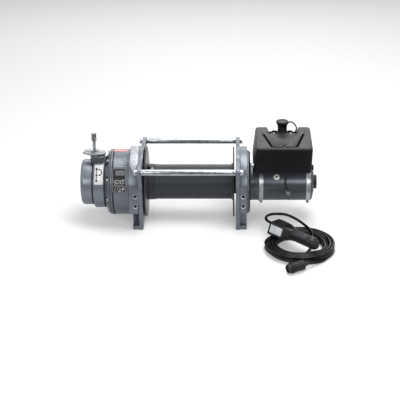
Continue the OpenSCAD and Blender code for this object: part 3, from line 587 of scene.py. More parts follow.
groups = {group.name: group for group in (
    new_group(edge_wear, Radius=0.0012, Break=260.0), new_group(cast_grain, Grain=900.0, Mottle=26.0),
    new_group(turned_lines, Lines=1500.0), new_group(face_turning, Lines=900.0),
    new_group(moulded_skin, Scale=1100.0))}


looks = {}


def finish(name, skin, colours, span, bump, roughness, rough=None, wear=None, metallic=0.0, coat=0.0,
           coat_roughness=0.1, specular=0.5):
    """A material with one Principled shader, and a skin group that shades and roughens it.

    skin: the group and its inputs; colours: at the low and the high end of the shade's span
    bump: its depth, its strength and the radius of the rounded edges, in metres
    rough: the shade's range, and the roughness at its two ends
    wear: the radius of the rubbed edges, how much they show, and their colour
    """
    material = bpy.data.materials.new(name)
    material.use_nodes = True
    tree = material.node_tree
    shader = tree.nodes["Principled BSDF"].inputs
    for label, value in (("Roughness", roughness), ("Metallic", metallic), ("Coat Weight", coat),
                         ("Coat Roughness", coat_roughness), ("Specular IOR Level", specular)):
        shader[label].default_value = value
    surface = added(tree, "Group", skin[1], node_tree=groups[skin[0]])
    shade = surface["Shade"]
    colour = mixed(tree, ranged(tree, shade, *span) if span else shade, *colours)
    if wear:
        mask = added(tree, "Group", {"Radius": wear[0]}, node_tree=groups["edge_wear"])["Mask"]
        colour = mixed(tree, maths(tree, "MULTIPLY", mask, wear[1]), colour, wear[2])
    tree.links.new(colour, shader["Base Color"])
    if rough:
        tree.links.new(ranged(tree, shade, *rough), shader["Roughness"])
    depth, strength, edge = bump
    rounded = added(tree, "Bevel", {"Radius": edge}, samples=4)["Normal"]
    tree.links.new(added(tree, "Bump", {"Strength": strength, "Distance": depth, "Height": surface["Height"],
                                        "Normal": rounded})["Normal"], shader["Normal"])
    looks[name] = material


# Paints, metals and plastics
PAINT = (0.165, 0.182, 0.208)
PAINT_DEEP = (0.125, 0.139, 0.163)
PAINT_RUBBED = (0.42, 0.44, 0.46)


def toned(colour, tone, lift=0.0, most=math.inf):
    return tuple(min(most, c * tone + lift) for c in colour)


def cast_paint(name, tone=1.0):
    """Blue-grey metallic paint over a casting, rubbed at its edges."""
    finish(name, ("cast_grain", {}), (toned(PAINT_DEEP, tone), toned(PAINT, tone)), None,
           (0.00014, 0.6, 0.0009), 0.36, rough=(0, 1, 0.31, 0.43),
           wear=(0.0014, 0.5, toned(PAINT_RUBBED, tone)), metallic=0.55, coat=0.1, coat_roughness=0.3)


def plain_metal(name, colour, roughness, grain=1400.0, depth=0.00003, metallic=1.0, dull=0.78, mottle=60.0):
    """Bare or plated metal with fine scratches."""
    finish(name, ("cast_grain", {"Grain": grain, "Mottle": mottle}), (toned(colour, dull), colour),
           (0.3, 0.7), (depth, 0.5, 0.0004), roughness, rough=(0, 1, roughness * 0.85, roughness * 1.25),
           metallic=metallic)


def satin(name, colour, roughness, specular=0.5, metallic=0.0):
    """Smooth paint, lighter where an edge is rubbed."""
    finish(name, ("cast_grain", {"Grain": 700.0, "Mottle": 40.0}), (colour, toned(colour, 1.4, 0.002)), None,
           (0.00008, 0.5, 0.0006), roughness, wear=(0.0009, 0.35, toned(colour, 2.4, 0.03, 0.9)),
           metallic=metallic, specular=specular)


def moulded(name, colour, roughness, scale=1100.0, depth=0.00012, specular=0.5):
    """Textured moulded plastic."""
    finish(name, ("moulded_skin", {"Scale": scale}), (colour, toned(colour, 1.35, 0.001)), (0.3, 0.7),
           (depth, 0.6, 0.0007), roughness, rough=(0.3, 0.7, roughness - 0.05, roughness + 0.06),
           specular=specular)


def turned_coat(name, colour, light, roughness, metallic=0.6, lines=1500.0, specular=0.5):
    """Paint or bare metal over fine turning rings."""
    finish(name, ("turned_lines", {"Lines": lines}), (colour, light), (0.35, 0.65), (0.00005, 0.5, 0.0006),
           roughness, rough=(0.3, 0.7, roughness - 0.06, roughness + 0.08), metallic=metallic,
           specular=specular)


def faced_steel(name, colour, light, roughness):
    """A steel disc with turning rings on its faces."""
    finish(name, ("face_turning", {}), (colour, light), (0.3, 0.7), (0.00006, 0.5, 0.0005), roughness,
           metallic=0.85)


cast_paint("cast_paint")
cast_paint("cast_paint_dark", 0.6)
# A lighter copy of the paint for the supports: painted light, for the fill light their lower faces catch
cast_paint("support_paint", 1.14)
cast_paint("ring_paint", 0.8)
turned_coat("cap_paint", (0.17, 0.187, 0.213), (0.25, 0.275, 0.31), 0.34, 0.65, 420.0, 0.25)
# Paler metal on the raised land at the top of the left boss: a painted highlight of the light from above
plain_metal("land_highlight_metal", (0.5, 0.51, 0.53), 0.5, grain=420.0, depth=0.0003, metallic=0.8, dull=0.55,
            mottle=260.0)
plain_metal("lever_metal", (0.42, 0.43, 0.445), 0.42, grain=800.0, depth=0.0002, dull=0.6, mottle=220.0)
plain_metal("bright_steel", (0.56, 0.58, 0.6), 0.2)
plain_metal("dark_steel", (0.28, 0.29, 0.31), 0.28)
plain_metal("post_steel", (0.34, 0.35, 0.365), 0.2)
plain_metal("rod_steel", (0.47, 0.5, 0.53), 0.2, depth=0.000004)
turned_coat("band_steel", (0.46, 0.49, 0.51), (0.55, 0.58, 0.6), 0.34, 0.9)
turned_coat("drum_coat", (0.032, 0.035, 0.042), (0.038, 0.042, 0.05), 0.3, 0.1, 1500.0, 0.24)
faced_steel("flange_steel", (0.15, 0.143, 0.142), (0.27, 0.26, 0.26), 0.42)
turned_coat("motor_paint", (0.078, 0.089, 0.104), (0.09, 0.102, 0.119), 0.29, 0.5, 900.0)
moulded("pack_plastic", (0.004, 0.004, 0.0055), 0.4, specular=0.2)
# A paler plastic for the cover's upward faces: painted light from above
moulded("pack_top", (0.022, 0.022, 0.025), 0.42, depth=0.0002, specular=0.24)
moulded("black_plastic", (0.008, 0.008, 0.009), 0.36, 1500.0, 0.00006, 0.4)
moulded("black_rubber", (0.005, 0.005, 0.006), 0.44, 1800.0, 0.00005, 0.3)
moulded("cord_rubber", (0.003, 0.003, 0.004), 0.16, 1800.0, 0.00001, 0.24)
moulded("hand_plastic", (0.005, 0.005, 0.006), 0.34, 1400.0, 0.00006, 0.35)
moulded("grip_plastic", (0.009, 0.009, 0.011), 0.34, 1400.0, 0.00006, 0.35)
moulded("pad_plastic", (0.02, 0.02, 0.024), 0.45, 1400.0, 0.00008, 0.35)
plain_metal("grey_plate", (0.62, 0.66, 0.68), 0.5, metallic=0.0)
# Near-black for the flange rims: painted shade
satin("flange_rim_shade", (0.018, 0.018, 0.02), 0.5, 0.3)
satin("black_paint", (0.01, 0.01, 0.012), 0.42, metallic=0.2)
# Near-black matt: the socket base's own black with painted shade on it, and painted shade in the cover's
# recess
satin("deep_black_and_shade", (0.004, 0.004, 0.005), 0.85, 0.03)
# Near-black: the seals' own dark rubber, and painted shade round the screw seats of the bolted ring
satin("seal_black_and_shade", (0.008, 0.008, 0.009), 0.6, 0.2)
satin("black_plate", (0.008, 0.008, 0.009), 0.32, 0.4)
satin("red_strip", (0.62, 0.24, 0.25), 0.35)
satin("pale_line", (0.52, 0.53, 0.54), 0.5)
satin("grey_panel", (0.11, 0.115, 0.12), 0.45)
satin("dark_mark", (0.02, 0.02, 0.022), 0.5, 0.3)
satin("white_plate", (0.64, 0.64, 0.64), 0.4)
satin("white_insulator", (0.74, 0.74, 0.72), 0.35)

for node, obj in frame["nodes"].items():
    obj.data.materials.clear()
    obj.data.materials.append(looks[node_slot[node]])

# Pieces that keep the shape of their node: the node, the piece, its look, its bevel, and the bevel's segments
for row in (("bolted_ring_screws", "ring_screws", "post_steel", 0.5, 2),
            ("clutch_block", "clutch_foot", "cast_paint_dark", 1.2, 3),
            ("drum_support_right", "support_right", "support_paint", 1.1, 3),
            ("tie_rod_bolts_left", "rod_bolts_left", "bright_steel", 0.8, 3),
            ("tie_rod_bolts_right", "rod_bolts_right", "bright_steel", 0.8, 3),
            ("rope_anchor_screw", "anchor_screw", "bright_steel", 0.4, 2),
            ("motor_band_screws", "band_clamps", "bright_steel", 0.5, 2),
            ("motor_end_plug", "motor_end_knob", "black_plastic", 0.5, 2),
            ("pack_base_plate", "pack_plate", "black_paint", 0.5, 2),
            ("pack_saddle", "pack_foot", "black_paint", 1.0, 2),
            ("pack_side_screw", "pack_screw", "bright_steel", 0.5, 2),
            ("pack_side_latch", "pack_latch", "black_plastic", 0.8, 2),
            # The socket base is near-black matt: its own black, darkened further as painted shade
            ("socket_plate", "socket_base", "deep_black_and_shade", 0.8, 3),
            ("socket_screws", "socket_base_screws", "bright_steel", 0.5, 2)):
    dressed(*row)


# Gear end
CAP_EDGE, CAP_DISH = 11, 2.5
SCREW_STEP, FIRST_SCREW = 40, 25.7
SCREWS_FROM_RIM, SCREW_SEAT = 11, 8.2

lathed("gear_end_cap", "end_cap", "cap_paint", lambda x0, x1, r: [
    (0, x0 + CAP_DISH), (r * 0.56, x0 + CAP_DISH), (r * 0.62, x0 + 0.3)]
    + arc_points((r - CAP_EDGE, x0 + CAP_EDGE), CAP_EDGE, -90, 0, 10)
    + [(r, x1 - 6), (r - 1.2, x1 - 5), (r - 1.2, x1 - 3.5), (r, x1 - 2.5), (r, x1), (0, x1)], 0.8)
lathed("clutch_ring", "free_ring", "cap_paint", lambda x0, x1, r: [
    (0, x0), (r - 5, x0), (r - 5, x0 + 1.5), (r - 1.5, x0 + 1.5), (r, x0 + 3), (r, x1 - 5.5),
    (r - 1.5, x1 - 4), (r - 7, x1 - 4), (r - 7, x1), (0, x1)], 0.6)
lathed("gear_housing", "housing", "cast_paint", lambda x0, x1, r: [
    (0, x0), (r, x0), (r, x0 + 5), (r - 1.5, x0 + 6), (r - 1.5, x1 - 6), (r, x1 - 4), (r, x1 - 1.2),
    (r - 1.2, x1), (0, x1)], 0.7)


def bolted_ring():
    """The ring of nine screws, with painted shade round each screw's seat."""
    circle = radius_of("gear_housing") - SCREWS_FROM_RIM

    # Faces round a screw's seat, which get painted shade
    def screw_seat_shade(centre, normal):
        y, z = centre.y, centre.z - AXIS_H
        turn = math.degrees(math.atan2(z, -y)) - FIRST_SCREW
        off = (turn + SCREW_STEP / 2) % SCREW_STEP - SCREW_STEP / 2
        return math.hypot(math.hypot(y, z) - circle, circle * math.radians(off)) < SCREW_SEAT

    repainted(dressed("bolted_ring", "ring_of_screws", "ring_paint", 0.7), "seal_black_and_shade", screw_seat_shade)


# Clutch lever
LEVER_T, LEVER_ANGLE, LEVER_HUB = 6, -12, 24


def lever():
    """The lever plate, a hub with two cut wings, with a raised boss and ribs, turned to its place."""
    left = [(-33, 12.5), (-35, 10.5), (-38, -10.5), (-36, -12.5)]
    right = [(33, -9.5), (38, -4.5), (38, 4.5), (33, 9.5)]
    lower, upper = ([polar(LEVER_HUB, a) for a in range(*turns, 8)] for turns in ((-112, -60), (68, 120)))
    plate = outlined("lever_plate", left + lower + right + upper, LEVER_T, 1.1, 3)
    boss = [(0, 1), (15.5, 1), (15.5, 7.2), (12.6, 7.2), (12.6, 6.6), (0, 6.6)]
    ribs = [block("lever_rib", (x0, -2.2, 5), (x1, 2.2, 7.4), 1.0) for x0, x1 in ((-31, -16), (16, 33))]
    whole = joined("lever", [plate, turned("lever_hub", softened(boss, 0.6), 64)] + ribs)
    put(whole, at(PIVOT_X, 0, box("clutch_lever")[0][2]) @ spun(LEVER_ANGLE, "Z"))
    fitted(smooth(whole), "lever_metal", "clutch_lever")


def castle_nut():
    """The slotted nut on the lever's pivot."""
    low, high = box("clutch_pivot")
    height = 7
    foot = high[2] - height
    nut = bar("pivot_nut", 12.7, 0, height, 6, 0.9)
    cut(nut, *[put(block("slot", (-16, -1.6, height - 2.6), (16, 1.6, height + 1)), spun(60 * i, "Z"))
               for i in range(3)])
    whole = joined("pivot_nut", [nut, bar("pivot_pin", 8, low[2] - foot, 0.5, 48, 0.5)])
    fitted(smooth(put(whole, at(PIVOT_X, 0, foot))), "bright_steel", "clutch_pivot")


def knob_post():
    """The stem with its collar and knurled knob."""
    low, high = box("clutch_post")
    stem, knob, collar, neck = 4, 8.2, 8.8, 5.4
    knurls, knurl_depth = 64, 0.05
    foot, top = low[2], high[2]
    knob_foot = top - 16
    collar_top = knob_foot - 1.5
    collar_foot = collar_top - 9
    profile = [(0, foot), (stem, foot), (stem, collar_foot), (collar - 1, collar_foot),
               (collar, collar_foot + 1), (collar, collar_foot + 3.4), (collar - 1.1, collar_foot + 4),
               (collar - 1.1, collar_foot + 5), (collar, collar_foot + 5.6), (collar, collar_top - 1),
               (collar - 1, collar_top), (neck, collar_top), (neck, knob_foot), (knob - 1.2, knob_foot),
               (knob, knob_foot + 1.6), (knob, top - 3), (knob - 2, top - 0.6), (knob - 4, top), (0, top)]
    post = turned("knob_post", softened(profile, 0.35, 2), knurls)
    wavered(post, lambda r, a, z: knurl_depth * (round(a / math.tau * knurls) % 2)
            if r > knob - 0.4 and z > knob_foot + 1.2 else 0)
    fitted(smooth(put(post, at(PIVOT_X, 0, 0)), 28), "post_steel", "clutch_post")


def knob_spring():
    """The open spring round the stem."""
    low, high = box("clutch_spring")
    wire, turns, per_turn = 1.15, 6.5, 24
    bottom, top = low[2] + wire, high[2] - wire
    points = []
    for i in range(int(turns * per_turn) + 1):
        x, y = polar(6.2 - wire, 360 * i / per_turn, (PIVOT_X, 0))
        points.append(in_metres((x, y, bottom + (top - bottom) * i / (turns * per_turn))))
    fitted(smooth(meshed(line_of("knob_spring", points, wire * MM, 2)), 50), "bright_steel", "clutch_spring")


# Stuck-on plates: the angles they reach over and the radius they lie at
HOUSING_R, RING_R, SHEET_GAP = 106.5, 84.5, 0.1
PLATE_T, MARK_T, MARK_LIFT = 0.8, 0.15, 0.75
ROW_LENGTH = 2.5
PLATE_ARCS = {
    "housing_plate": (3.5, 47, HOUSING_R + SHEET_GAP),
    "housing_top_strip": (90, 120, HOUSING_R + SHEET_GAP),
    "clutch_ring_label": (16.5, 61, RING_R + SHEET_GAP),
}


def plate_size(node):
    x0, x1 = ends(node)
    angle0, angle1, radius = PLATE_ARCS[node]
    return x1 - x0, math.radians(angle1 - angle0) * radius


def wrapped(flat, node, lift=0.0):
    """A flat piece, X along the drum and Y round it, bent round the axis from its node's lower corner."""
    heights = [vert.co.y for vert in flat.data.vertices]
    low, high = min(heights), max(heights)
    edit(flat)
    rows = max(2, int((high - low) / (ROW_LENGTH * MM)))
    for i in range(1, rows):
        on_all(bpy.ops.mesh.bisect, plane_co=(0, low + (high - low) * i / rows, 0), plane_no=(0, 1, 0))
    leave_edit()
    start, _, radius = PLATE_ARCS[node]
    for vert in flat.data.vertices:
        x, y, z = vert.co / MM
        a, r = math.radians(start) + y / radius, radius + lift + z
        vert.co = in_metres((ends(node)[0] + x, -r * math.cos(a), AXIS_H + r * math.sin(a)))
    return outward(flat)


def bent_plate(node, name, look, corner):
    """A thin plate with round corners, where its node is."""
    flat = outlined(name, rounded_rectangle(*plate_size(node), corner), PLATE_T)
    fitted(smooth(wrapped(flat, node)), look, node)


def marks(name, node, look, shapes, lift=MARK_LIFT):
    """Thin shapes on a plate, or beside it on the paint, from its lower left corner, bent like the plate."""
    parts = [wrapped(outlined(name, shape, MARK_T), node, lift) for shape in shapes]
    fitted(smooth(joined(name, parts)), look, body=node_body[node], slot=node_slot[node])


def dark_plate_marks():
    """A border, rows of blank dashes and a blank panel, with rows of small dashes on the paint above."""
    wide, tall = plate_size("housing_plate")
    edge, line = 1.6, 0.7
    inside, top = wide - edge, tall - edge
    lines = [rectangle(edge, edge, inside, edge + line), rectangle(edge, top - line, inside, top),
             rectangle(edge, edge + line, edge + line, top - line),
             rectangle(inside - line, edge + line, inside, top - line)]
    dashes = (5, 3, 9, 4, 7, 2, 6, 8, 3, 5, 4, 10, 2, 6)
    step = 0
    for k in range(8):
        y, x = edge + 3.4 + k * 4.9, edge + 3 + 2 * (k % 3)
        while x < inside - 6:
            long = min(dashes[step % len(dashes)], inside - 3 - x)
            lines.append(rectangle(x, y, x + long, y + (2.6 if step % 5 == 2 else 1.5)))
            x += long + 3.2
            step += 1
    marks("plate_lines", "housing_plate", "pale_line", lines)
    marks("plate_panel", "housing_plate", "grey_panel", [rectangle(10, tall - 25, wide - 5, tall - 8)])
    rows = []
    for up, first, last in ((7, 7, 35), (15.5, 7, 38), (23.5, 15, 31)):
        x = first
        while x < last:
            rows.append(rectangle(x, tall + up, x + 2.6, tall + up + 2.2))
            x += 3.5
    marks("paint_rows", "housing_plate", "pale_line", rows, 0)


def white_label_marks():
    """An arc with an arrow at its top and a tail at its foot, and a column of blocks."""
    centre, inner, outer = (11.5, 40), 9.2, 12.4
    turn = range(-62, 71, 12)
    arc = [polar(outer, a, centre) for a in turn] + [polar(inner, a, centre) for a in reversed(turn)]
    tip, tail = ([polar(r, a, centre) for r, a in spots] for spots in (
        ((7, 68), (14.4, 68), (10.75, 98)), ((10.75, -90), (14.4, -60), (7, -60))))
    column = [rectangle(*corners) for corners in (
        (3, 45, 9, 57), (4, 36, 8, 43), (3, 26, 9.5, 34), (4, 18, 8, 24), (3, 8, 9, 16))]
    marks("label_marks", "clutch_ring_label", "dark_mark", [arc, tip, tail] + column)


# Drum supports
BOSS_R = 116
LAND_X, LAND_FOOT = (-192, -166), 60
FACE_Y, FACE_X = 112, 174
THREAD_R = {-1: 5, 1: 5.25}
THREAD_DROPS = (6.5, 40.5)


def left_support():
    """The left casting, with a painted highlight of paler metal on the raised land at the top of its boss."""
    repainted(dressed("drum_support_left", "support_left", "support_paint", 1.1, 3), "land_highlight_metal",
              lambda centre, normal: math.hypot(centre.y, centre.z - AXIS_H) > BOSS_R + 1.2
              and LAND_X[0] < centre.x < LAND_X[1] and centre.z > AXIS_H + LAND_FOOT)


def seals():
    """Dark rings in the joints of the gear end: the middle, half width and radius of each."""
    cap1, ring1 = ends("gear_end_cap")[1], ends("clutch_ring")[1]
    house0, house1 = ends("gear_housing")
    parts = []
    for x, half, r in ((cap1 - 1.8, 2.2, 75.5), (ring1 - 0.6, 1.2, 85.6),
                       (house0 + 7.2, 2.3, HOUSING_R + 0.8), (house1 - 1.4, 1.5, HOUSING_R + 0.8)):
        profile = [(r - 3, x - half), (r, x - half), (r, x + half), (r - 3, x + half)]
        parts.append(put(turned("seal", softened(profile, 0.4, 2), 128, closed=True), ON_DRUM_AXIS))
    added_trim(smooth(joined("seals", parts)), "seal_black_and_shade", "black_rubber")


def countersinks():
    """Bare metal where the threaded holes of the faces are countersunk."""
    parts = []
    for side, r in THREAD_R.items():
        profile = [(r - 0.3, -1.8), (r + 1.35, 0.1), (r + 2.2, 0.1), (r + 2.2, -0.4), (r + 0.6, -2.0)]
        for x in (-FACE_X, FACE_X):
            for drop in THREAD_DROPS:
                place = at(x, side * FACE_Y, AXIS_H - drop) @ spun(-90 * side, "X")
                parts.append(put(turned("sink", profile, 48, closed=True), place))
    added_trim(smooth(joined("bare_countersinks", parts)), "bright_steel", "bright_steel")


def tie_rods():
    """Two rods, each with a shallow groove near its ends."""
    for side in ("front", "rear"):
        node = "tie_rod_" + side
        x0, x1 = ends(node)
        r = radius_of(node)
        profile = [(0, x0), (r - 1, x0), (r, x0 + 1), (r, x0 + 9), (r - 0.4, x0 + 9.6), (r - 0.4, x0 + 11),
                   (r, x0 + 11.6), (r, x1 - 11.6), (r - 0.4, x1 - 11), (r - 0.4, x1 - 9.6), (r, x1 - 9),
                   (r, x1 - 1), (r - 1, x1), (0, x1)]
        rod = turned("frame_rod_" + side, softened(profile, 0.3, 2), 64)
        fitted(put(rod, at(0, *middle(node)[1:]) @ ALONG_X), "rod_steel", node)


# Drum
ROPE_X, ANCHOR_X, ANCHOR_ANGLE = -134, -122.5, 72
BARREL_R, COLLAR_R, JOURNAL_R, FLANGE_BORE = 57, 59, 40, 57.1
DRUM_FLAT, DRUM_END, FILLET = 141, 145.5, 10


def barrel():
    """The drum barrel: collar and step at the left, fillet at the right, rope hole and screw hole."""
    r, mid, journal, neck = BARREL_R, (BARREL_R + COLLAR_R) / 2, JOURNAL_R, ends("drum_barrel")[1]
    flat, end = DRUM_FLAT, DRUM_END
    profile = ([(0, -neck), (journal, -neck), (journal, -end), (r, -end), (r, -flat), (COLLAR_R, -flat),
                (COLLAR_R, -flat + 22.5), (r, -flat + 24), (mid, -flat + 25.5), (mid, -flat + 32.5),
                (r, -flat + 34)]
               + arc_points((r + FILLET, flat - FILLET), FILLET, 180, 90, 8)
               + [(r, flat), (r, end), (journal, end), (journal, neck), (0, neck)])
    body = put(turned("barrel", softened(profile, 0.6), 144), ON_DRUM_AXIS)
    cut(body, put(bar("rope_cut", 6, 35, 70, 40), standing_out(ROPE_X, ANCHOR_ANGLE)),
        put(bar("screw_cut", 4.5, 41, 70, 32), standing_out(ANCHOR_X, ANCHOR_ANGLE)))
    fitted(smooth(body), "drum_coat", "drum_barrel")


def flange(side):
    """A drum flange, its rim painted dark as painted shade."""
    node = "drum_flange_" + side
    piece = lathed(node, "flange_" + side, "flange_steel", lambda x0, x1, r: [
        (FLANGE_BORE, x0), (r, x0), (r, x1), (FLANGE_BORE, x1)], 1.3, 4, 160, closed=True)
    rim = radius_of(node) - 1.6
    repainted(piece, "flange_rim_shade", lambda centre, normal: math.hypot(centre.y, centre.z - AXIS_H) > rim)


# Motor
MOTOR_R, TERMINAL_ANGLE, EARTH_ANGLE = 61, 36, -14
RIM_STEPS, TOOTH_DEPTH = 240, 1.3

lathed("motor_body", "motor", "motor_paint", lambda x0, x1, r: [
    (0, x0), (r, x0), (r, x0 + 11), (r - 0.7, x0 + 11.8), (r - 0.7, x0 + 12.8), (r, x0 + 13.6), (r, x1 - 1.5),
    (r - 1.5, x1), (0, x1)], 0.5)
lathed("motor_mount_disc", "motor_mount", "black_paint", lambda x0, x1, r: [
    (0, x0), (r, x0), (r - 1, x0 + 2.4), (r - 5, x1), (r * 0.7, x1), (r * 0.66, x1 - 1.5), (0, x1 - 1.5)],
    0.6, steps=120)
lathed("motor_end_bell", "motor_end", "black_paint", lambda x0, x1, r: [
    (0, x0), (r, x0), (r - 1.5, x0 + 2), (35, x1 - 0.8), (31, x1), (0, x1)], 0.8)
for side in ("left", "right"):
    lathed("motor_band_" + side, "band_" + side, "band_steel", lambda x0, x1, r: [
        (r - 1.5, x0), (r, x0), (r, x0 + 1.4), (r - 0.5, x0 + 2), (r - 0.5, x1 - 2), (r, x1 - 1.4), (r, x1),
        (r - 1.5, x1)], 0.3, 2, closed=True)


def motor_flange():
    """The flange disc, with a toothed rim."""
    x0, x1 = ends("motor_flange_disc")
    rim = radius_of("motor_flange_disc")
    disc = turned("motor_flange", softened([(0, x0), (rim, x0), (rim, x1), (0, x1)], 1.2, 4), RIM_STEPS)
    wavered(disc, lambda r, a, z: TOOTH_DEPTH / r
            if r > rim - 0.4 and round(a / math.tau * RIM_STEPS) % 4 < 2 else 0)
    fitted(smooth(put(disc, ON_DRUM_AXIS), 28), "cast_paint", "motor_flange_disc")


def terminals():
    """The white terminal ring with its nut, and the earth stud with its lug."""
    place = standing_out(middle("terminal_insulator")[0], TERMINAL_ANGLE, MOTOR_R)
    ring = [(0, -2), (9.5, -2), (9.5, 6), (7.6, 8), (5.5, 8), (5.5, 4.4), (0, 4.4)]
    ring = turned("terminal_ring", softened(ring, 0.7), 64)
    fitted(put(ring, place), "white_insulator", "terminal_insulator")
    bolt = [bar("terminal_stud", 2.4, 3, 11, 24, 0.4), bar("terminal_hex", 4.8, 4.3, 8.6, 6, 0.4)]
    fitted(smooth(put(joined("terminal_bolt", bolt), place)), "dark_steel", "terminal_nut")

    washer = [(0, -1.5), (7.4, -1.5), (7.4, 1.2), (4.2, 1.2), (0, 1.2)]
    eye = [(2.6, 1.2), (6.6, 1.2), (6.6, 2.6), (2.6, 2.6)]
    sleeve = put(bar("earth_barrel", 3.1, 5.0, 15, 24, 0.6), at(0, 0, 2.9) @ spun(115, "Z") @ ALONG_X)
    lug = joined("earth_lug", [
        turned("earth_washer", softened(washer, 0.3), 40),
        turned("earth_eye", softened(eye, 0.3), 40, closed=True),
        bar("earth_hex", 5.2, 2.5, 6.2, 6, 0.4), bar("earth_bolt", 2.6, 0, 7.6, 24, 0.4), sleeve])
    put(lug, standing_out(middle("earth_stud")[0], EARTH_ANGLE, MOTOR_R))
    fitted(smooth(lug), "bright_steel", "earth_stud")


# Control pack
CATCH_Y, CATCH_DROP = -71, 5.4


def pack_hood():
    """The cover: its sunk faces and the walls of its recess are painted near-black as painted shade, and its
    upward faces are painted paler than its sides as painted light from above.
    """
    hood = dressed("pack_cover", "pack_hood", "pack_plastic", 0.9)
    top = box("pack_cover")[1][2]
    low, high = box("socket_plate")

    # Faces that get painted shade: the cover's sunk faces and the walls of its recess
    def in_painted_shade(centre, normal):
        sunk = normal.z > 0.9 and low[2] - 2 < centre.z < top - 1.5
        wall = (abs(normal.z) < 0.6 and low[2] - 1 < centre.z < top - 3 and centre.y > low[1] - 25
                and low[0] - 14 < centre.x < high[0] + 14 and centre.y < high[1] + 4)
        return sunk or wall

    repainted(hood, "deep_black_and_shade", in_painted_shade)
    # Painted light: the upward faces outside the painted shade take the paler plastic
    repainted(hood, "pack_top", lambda centre, normal: normal.z > 0.6 and not in_painted_shade(centre, normal))


def pack_catch():
    """A quarter-turn screw in the notch at the front of the lid."""
    head = turned("pack_catch", softened([(0, -2), (4.6, -2), (4.6, 1.2), (3.8, 2.2), (0, 2.6)], 0.5), 40)
    cut(head, block("slot", (-6, -0.7, 1.2), (6, 0.7, 4)))
    put(head, at(middle("socket_plate")[0] + 2, CATCH_Y, box("pack_cover")[1][2] - CATCH_DROP) @ spun(35, "Z"))
    added_trim(smooth(head), "bright_steel", "bright_steel")


# Socket
def socket():
    """The socket's shell, with four rings round it."""
    low, high = box("socket_body")
    top, r = high[2] - low[2], 15.5
    profile = [(0, 0), (r + 3, 0), (r + 3, 4), (r + 1.5, 5), (r, 5), (r, 7.5)]
    for z in (8 + i * 3.6 for i in range(4)):
        profile += [(r - 0.9, z), (r - 0.9, z + 1.2), (r, z + 1.8), (r, z + 3.0)]
    body = turned("socket_shell", softened(profile + [(r, top), (0, top)], 0.35, 2), 72)
    fitted(put(body, at(*middle("socket_body")[:2], low[2])), "black_rubber", "socket_body")


def socket_lid():
    """The rubber cap, with grip flutes round its rim."""
    low, high = box("socket_cap")
    height, rim, foot = high[2] - low[2], 21, 16.5
    flutes, flute_depth, flute_foot = 20, 0.9, rim - 3.5
    profile = ([(0, 0), (foot, 0), (foot, 1.6), (foot + 0.6, 2.4), (foot + 0.6, 3.8),
                (rim - 1.6, height - 7.6), (rim, height - 6), (rim, height - 4)]
               + arc_points((rim - 4, height - 4), 4, 10, 82, 6)
               + [(rim - 6, height - 0.2), (rim - 7, height - 1.2), (0, height - 1.2)])
    lid = turned("socket_lid", softened(profile, 0.5), 120)
    wavered(lid, lambda r, a, z: flute_depth * max(0.0, math.cos(flutes * a)) ** 2
            * min(1.0, (r - flute_foot) / 2) / r if r > flute_foot and z > height - 9 else 0)
    fitted(smooth(put(lid, at(*middle("socket_cap")[:2], low[2])), 45), "black_rubber", "socket_cap")


STRAP_ROUTE = [(20.5, 0, 12), (26, -1, 13.5), (33, -3, 12), (41, -5, 6), (46, -7, -4), (45, -8, -14),
               (42, -8, -21), (40, -8, -27)]


def lid_strap():
    """The strap from the cap to a ring beside the socket."""
    x, y = middle("socket_cap")[:2]
    start = in_metres((x, y, box("socket_cap")[0][2]))
    points = flowing([Vector(point) * MM + start for point in STRAP_ROUTE], 8)
    strap = meshed(line_of("lid_strap", points, 2.4 * MM))
    eye = turned("lid_strap_eye", softened([(0, 0), (4.5, 0), (4.5, 4), (2.2, 4), (0, 3.4)], 0.8), 40)
    put(eye, at(x + 40, y - 8, box("cap_tether")[0][2]))
    fitted(smooth(joined("lid_strap", [strap, eye]), 50), "black_rubber", "cap_tether")


# Hand control. It lies over its coil, turned in plan, and its front leans back
low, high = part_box("cord_coil")
COIL = Vector((low.x + high.x, low.y + high.y, 0)) / 2
HAND_ANGLE, HAND_HALF, FRONT_LEAN = -46, 94, 24
HAND = at(COIL.x / MM - 16, COIL.y / MM + 6, 28.3) @ spun(HAND_ANGLE, "Z")
GLAND_Y, GLAND_Z, GLAND_LEN = 10, 20, 16
GLAND_FOOT = 3 - HAND_HALF
HANDLE_Z = 19
PLUG = at(COIL.x / MM + 6, COIL.y / MM - 136, 17) @ spun(32, "Z") @ spun(-90, "Y")
GRIPS, GRIP_DEPTH = 12, 0.045
HAND_BODY = ((21, 10, 10), (17, 30, 10), (-25 + 28 * math.tan(math.radians(FRONT_LEAN)), 34, 6), (-25, 6, 6))


def squarish_ring(x, r, power=2.35, count=48):
    """A ring across the handle: a circle at power 2, squarer above it."""
    ring = []
    for i in range(count):
        c, s = polar(1, 360 * i / count)
        ring.append(Vector((x, r * math.copysign(abs(c) ** (2 / power), c),
                            HANDLE_Z + r * math.copysign(abs(s) ** (2 / power), s))) * MM)
    return ring


def cornered_ring(x, corners, parts=12):
    """A ring round four corner circles (Y, Z, radius): back low, back high, front high, front low."""
    turns = (-90, 11, 90, 180 - FRONT_LEAN, 270)
    return [Vector((x, *point)) * MM for (y, z, r), start, end in zip(corners, turns, turns[1:])
            for point in arc_points((y, z), r, start, end, parts - 1)]


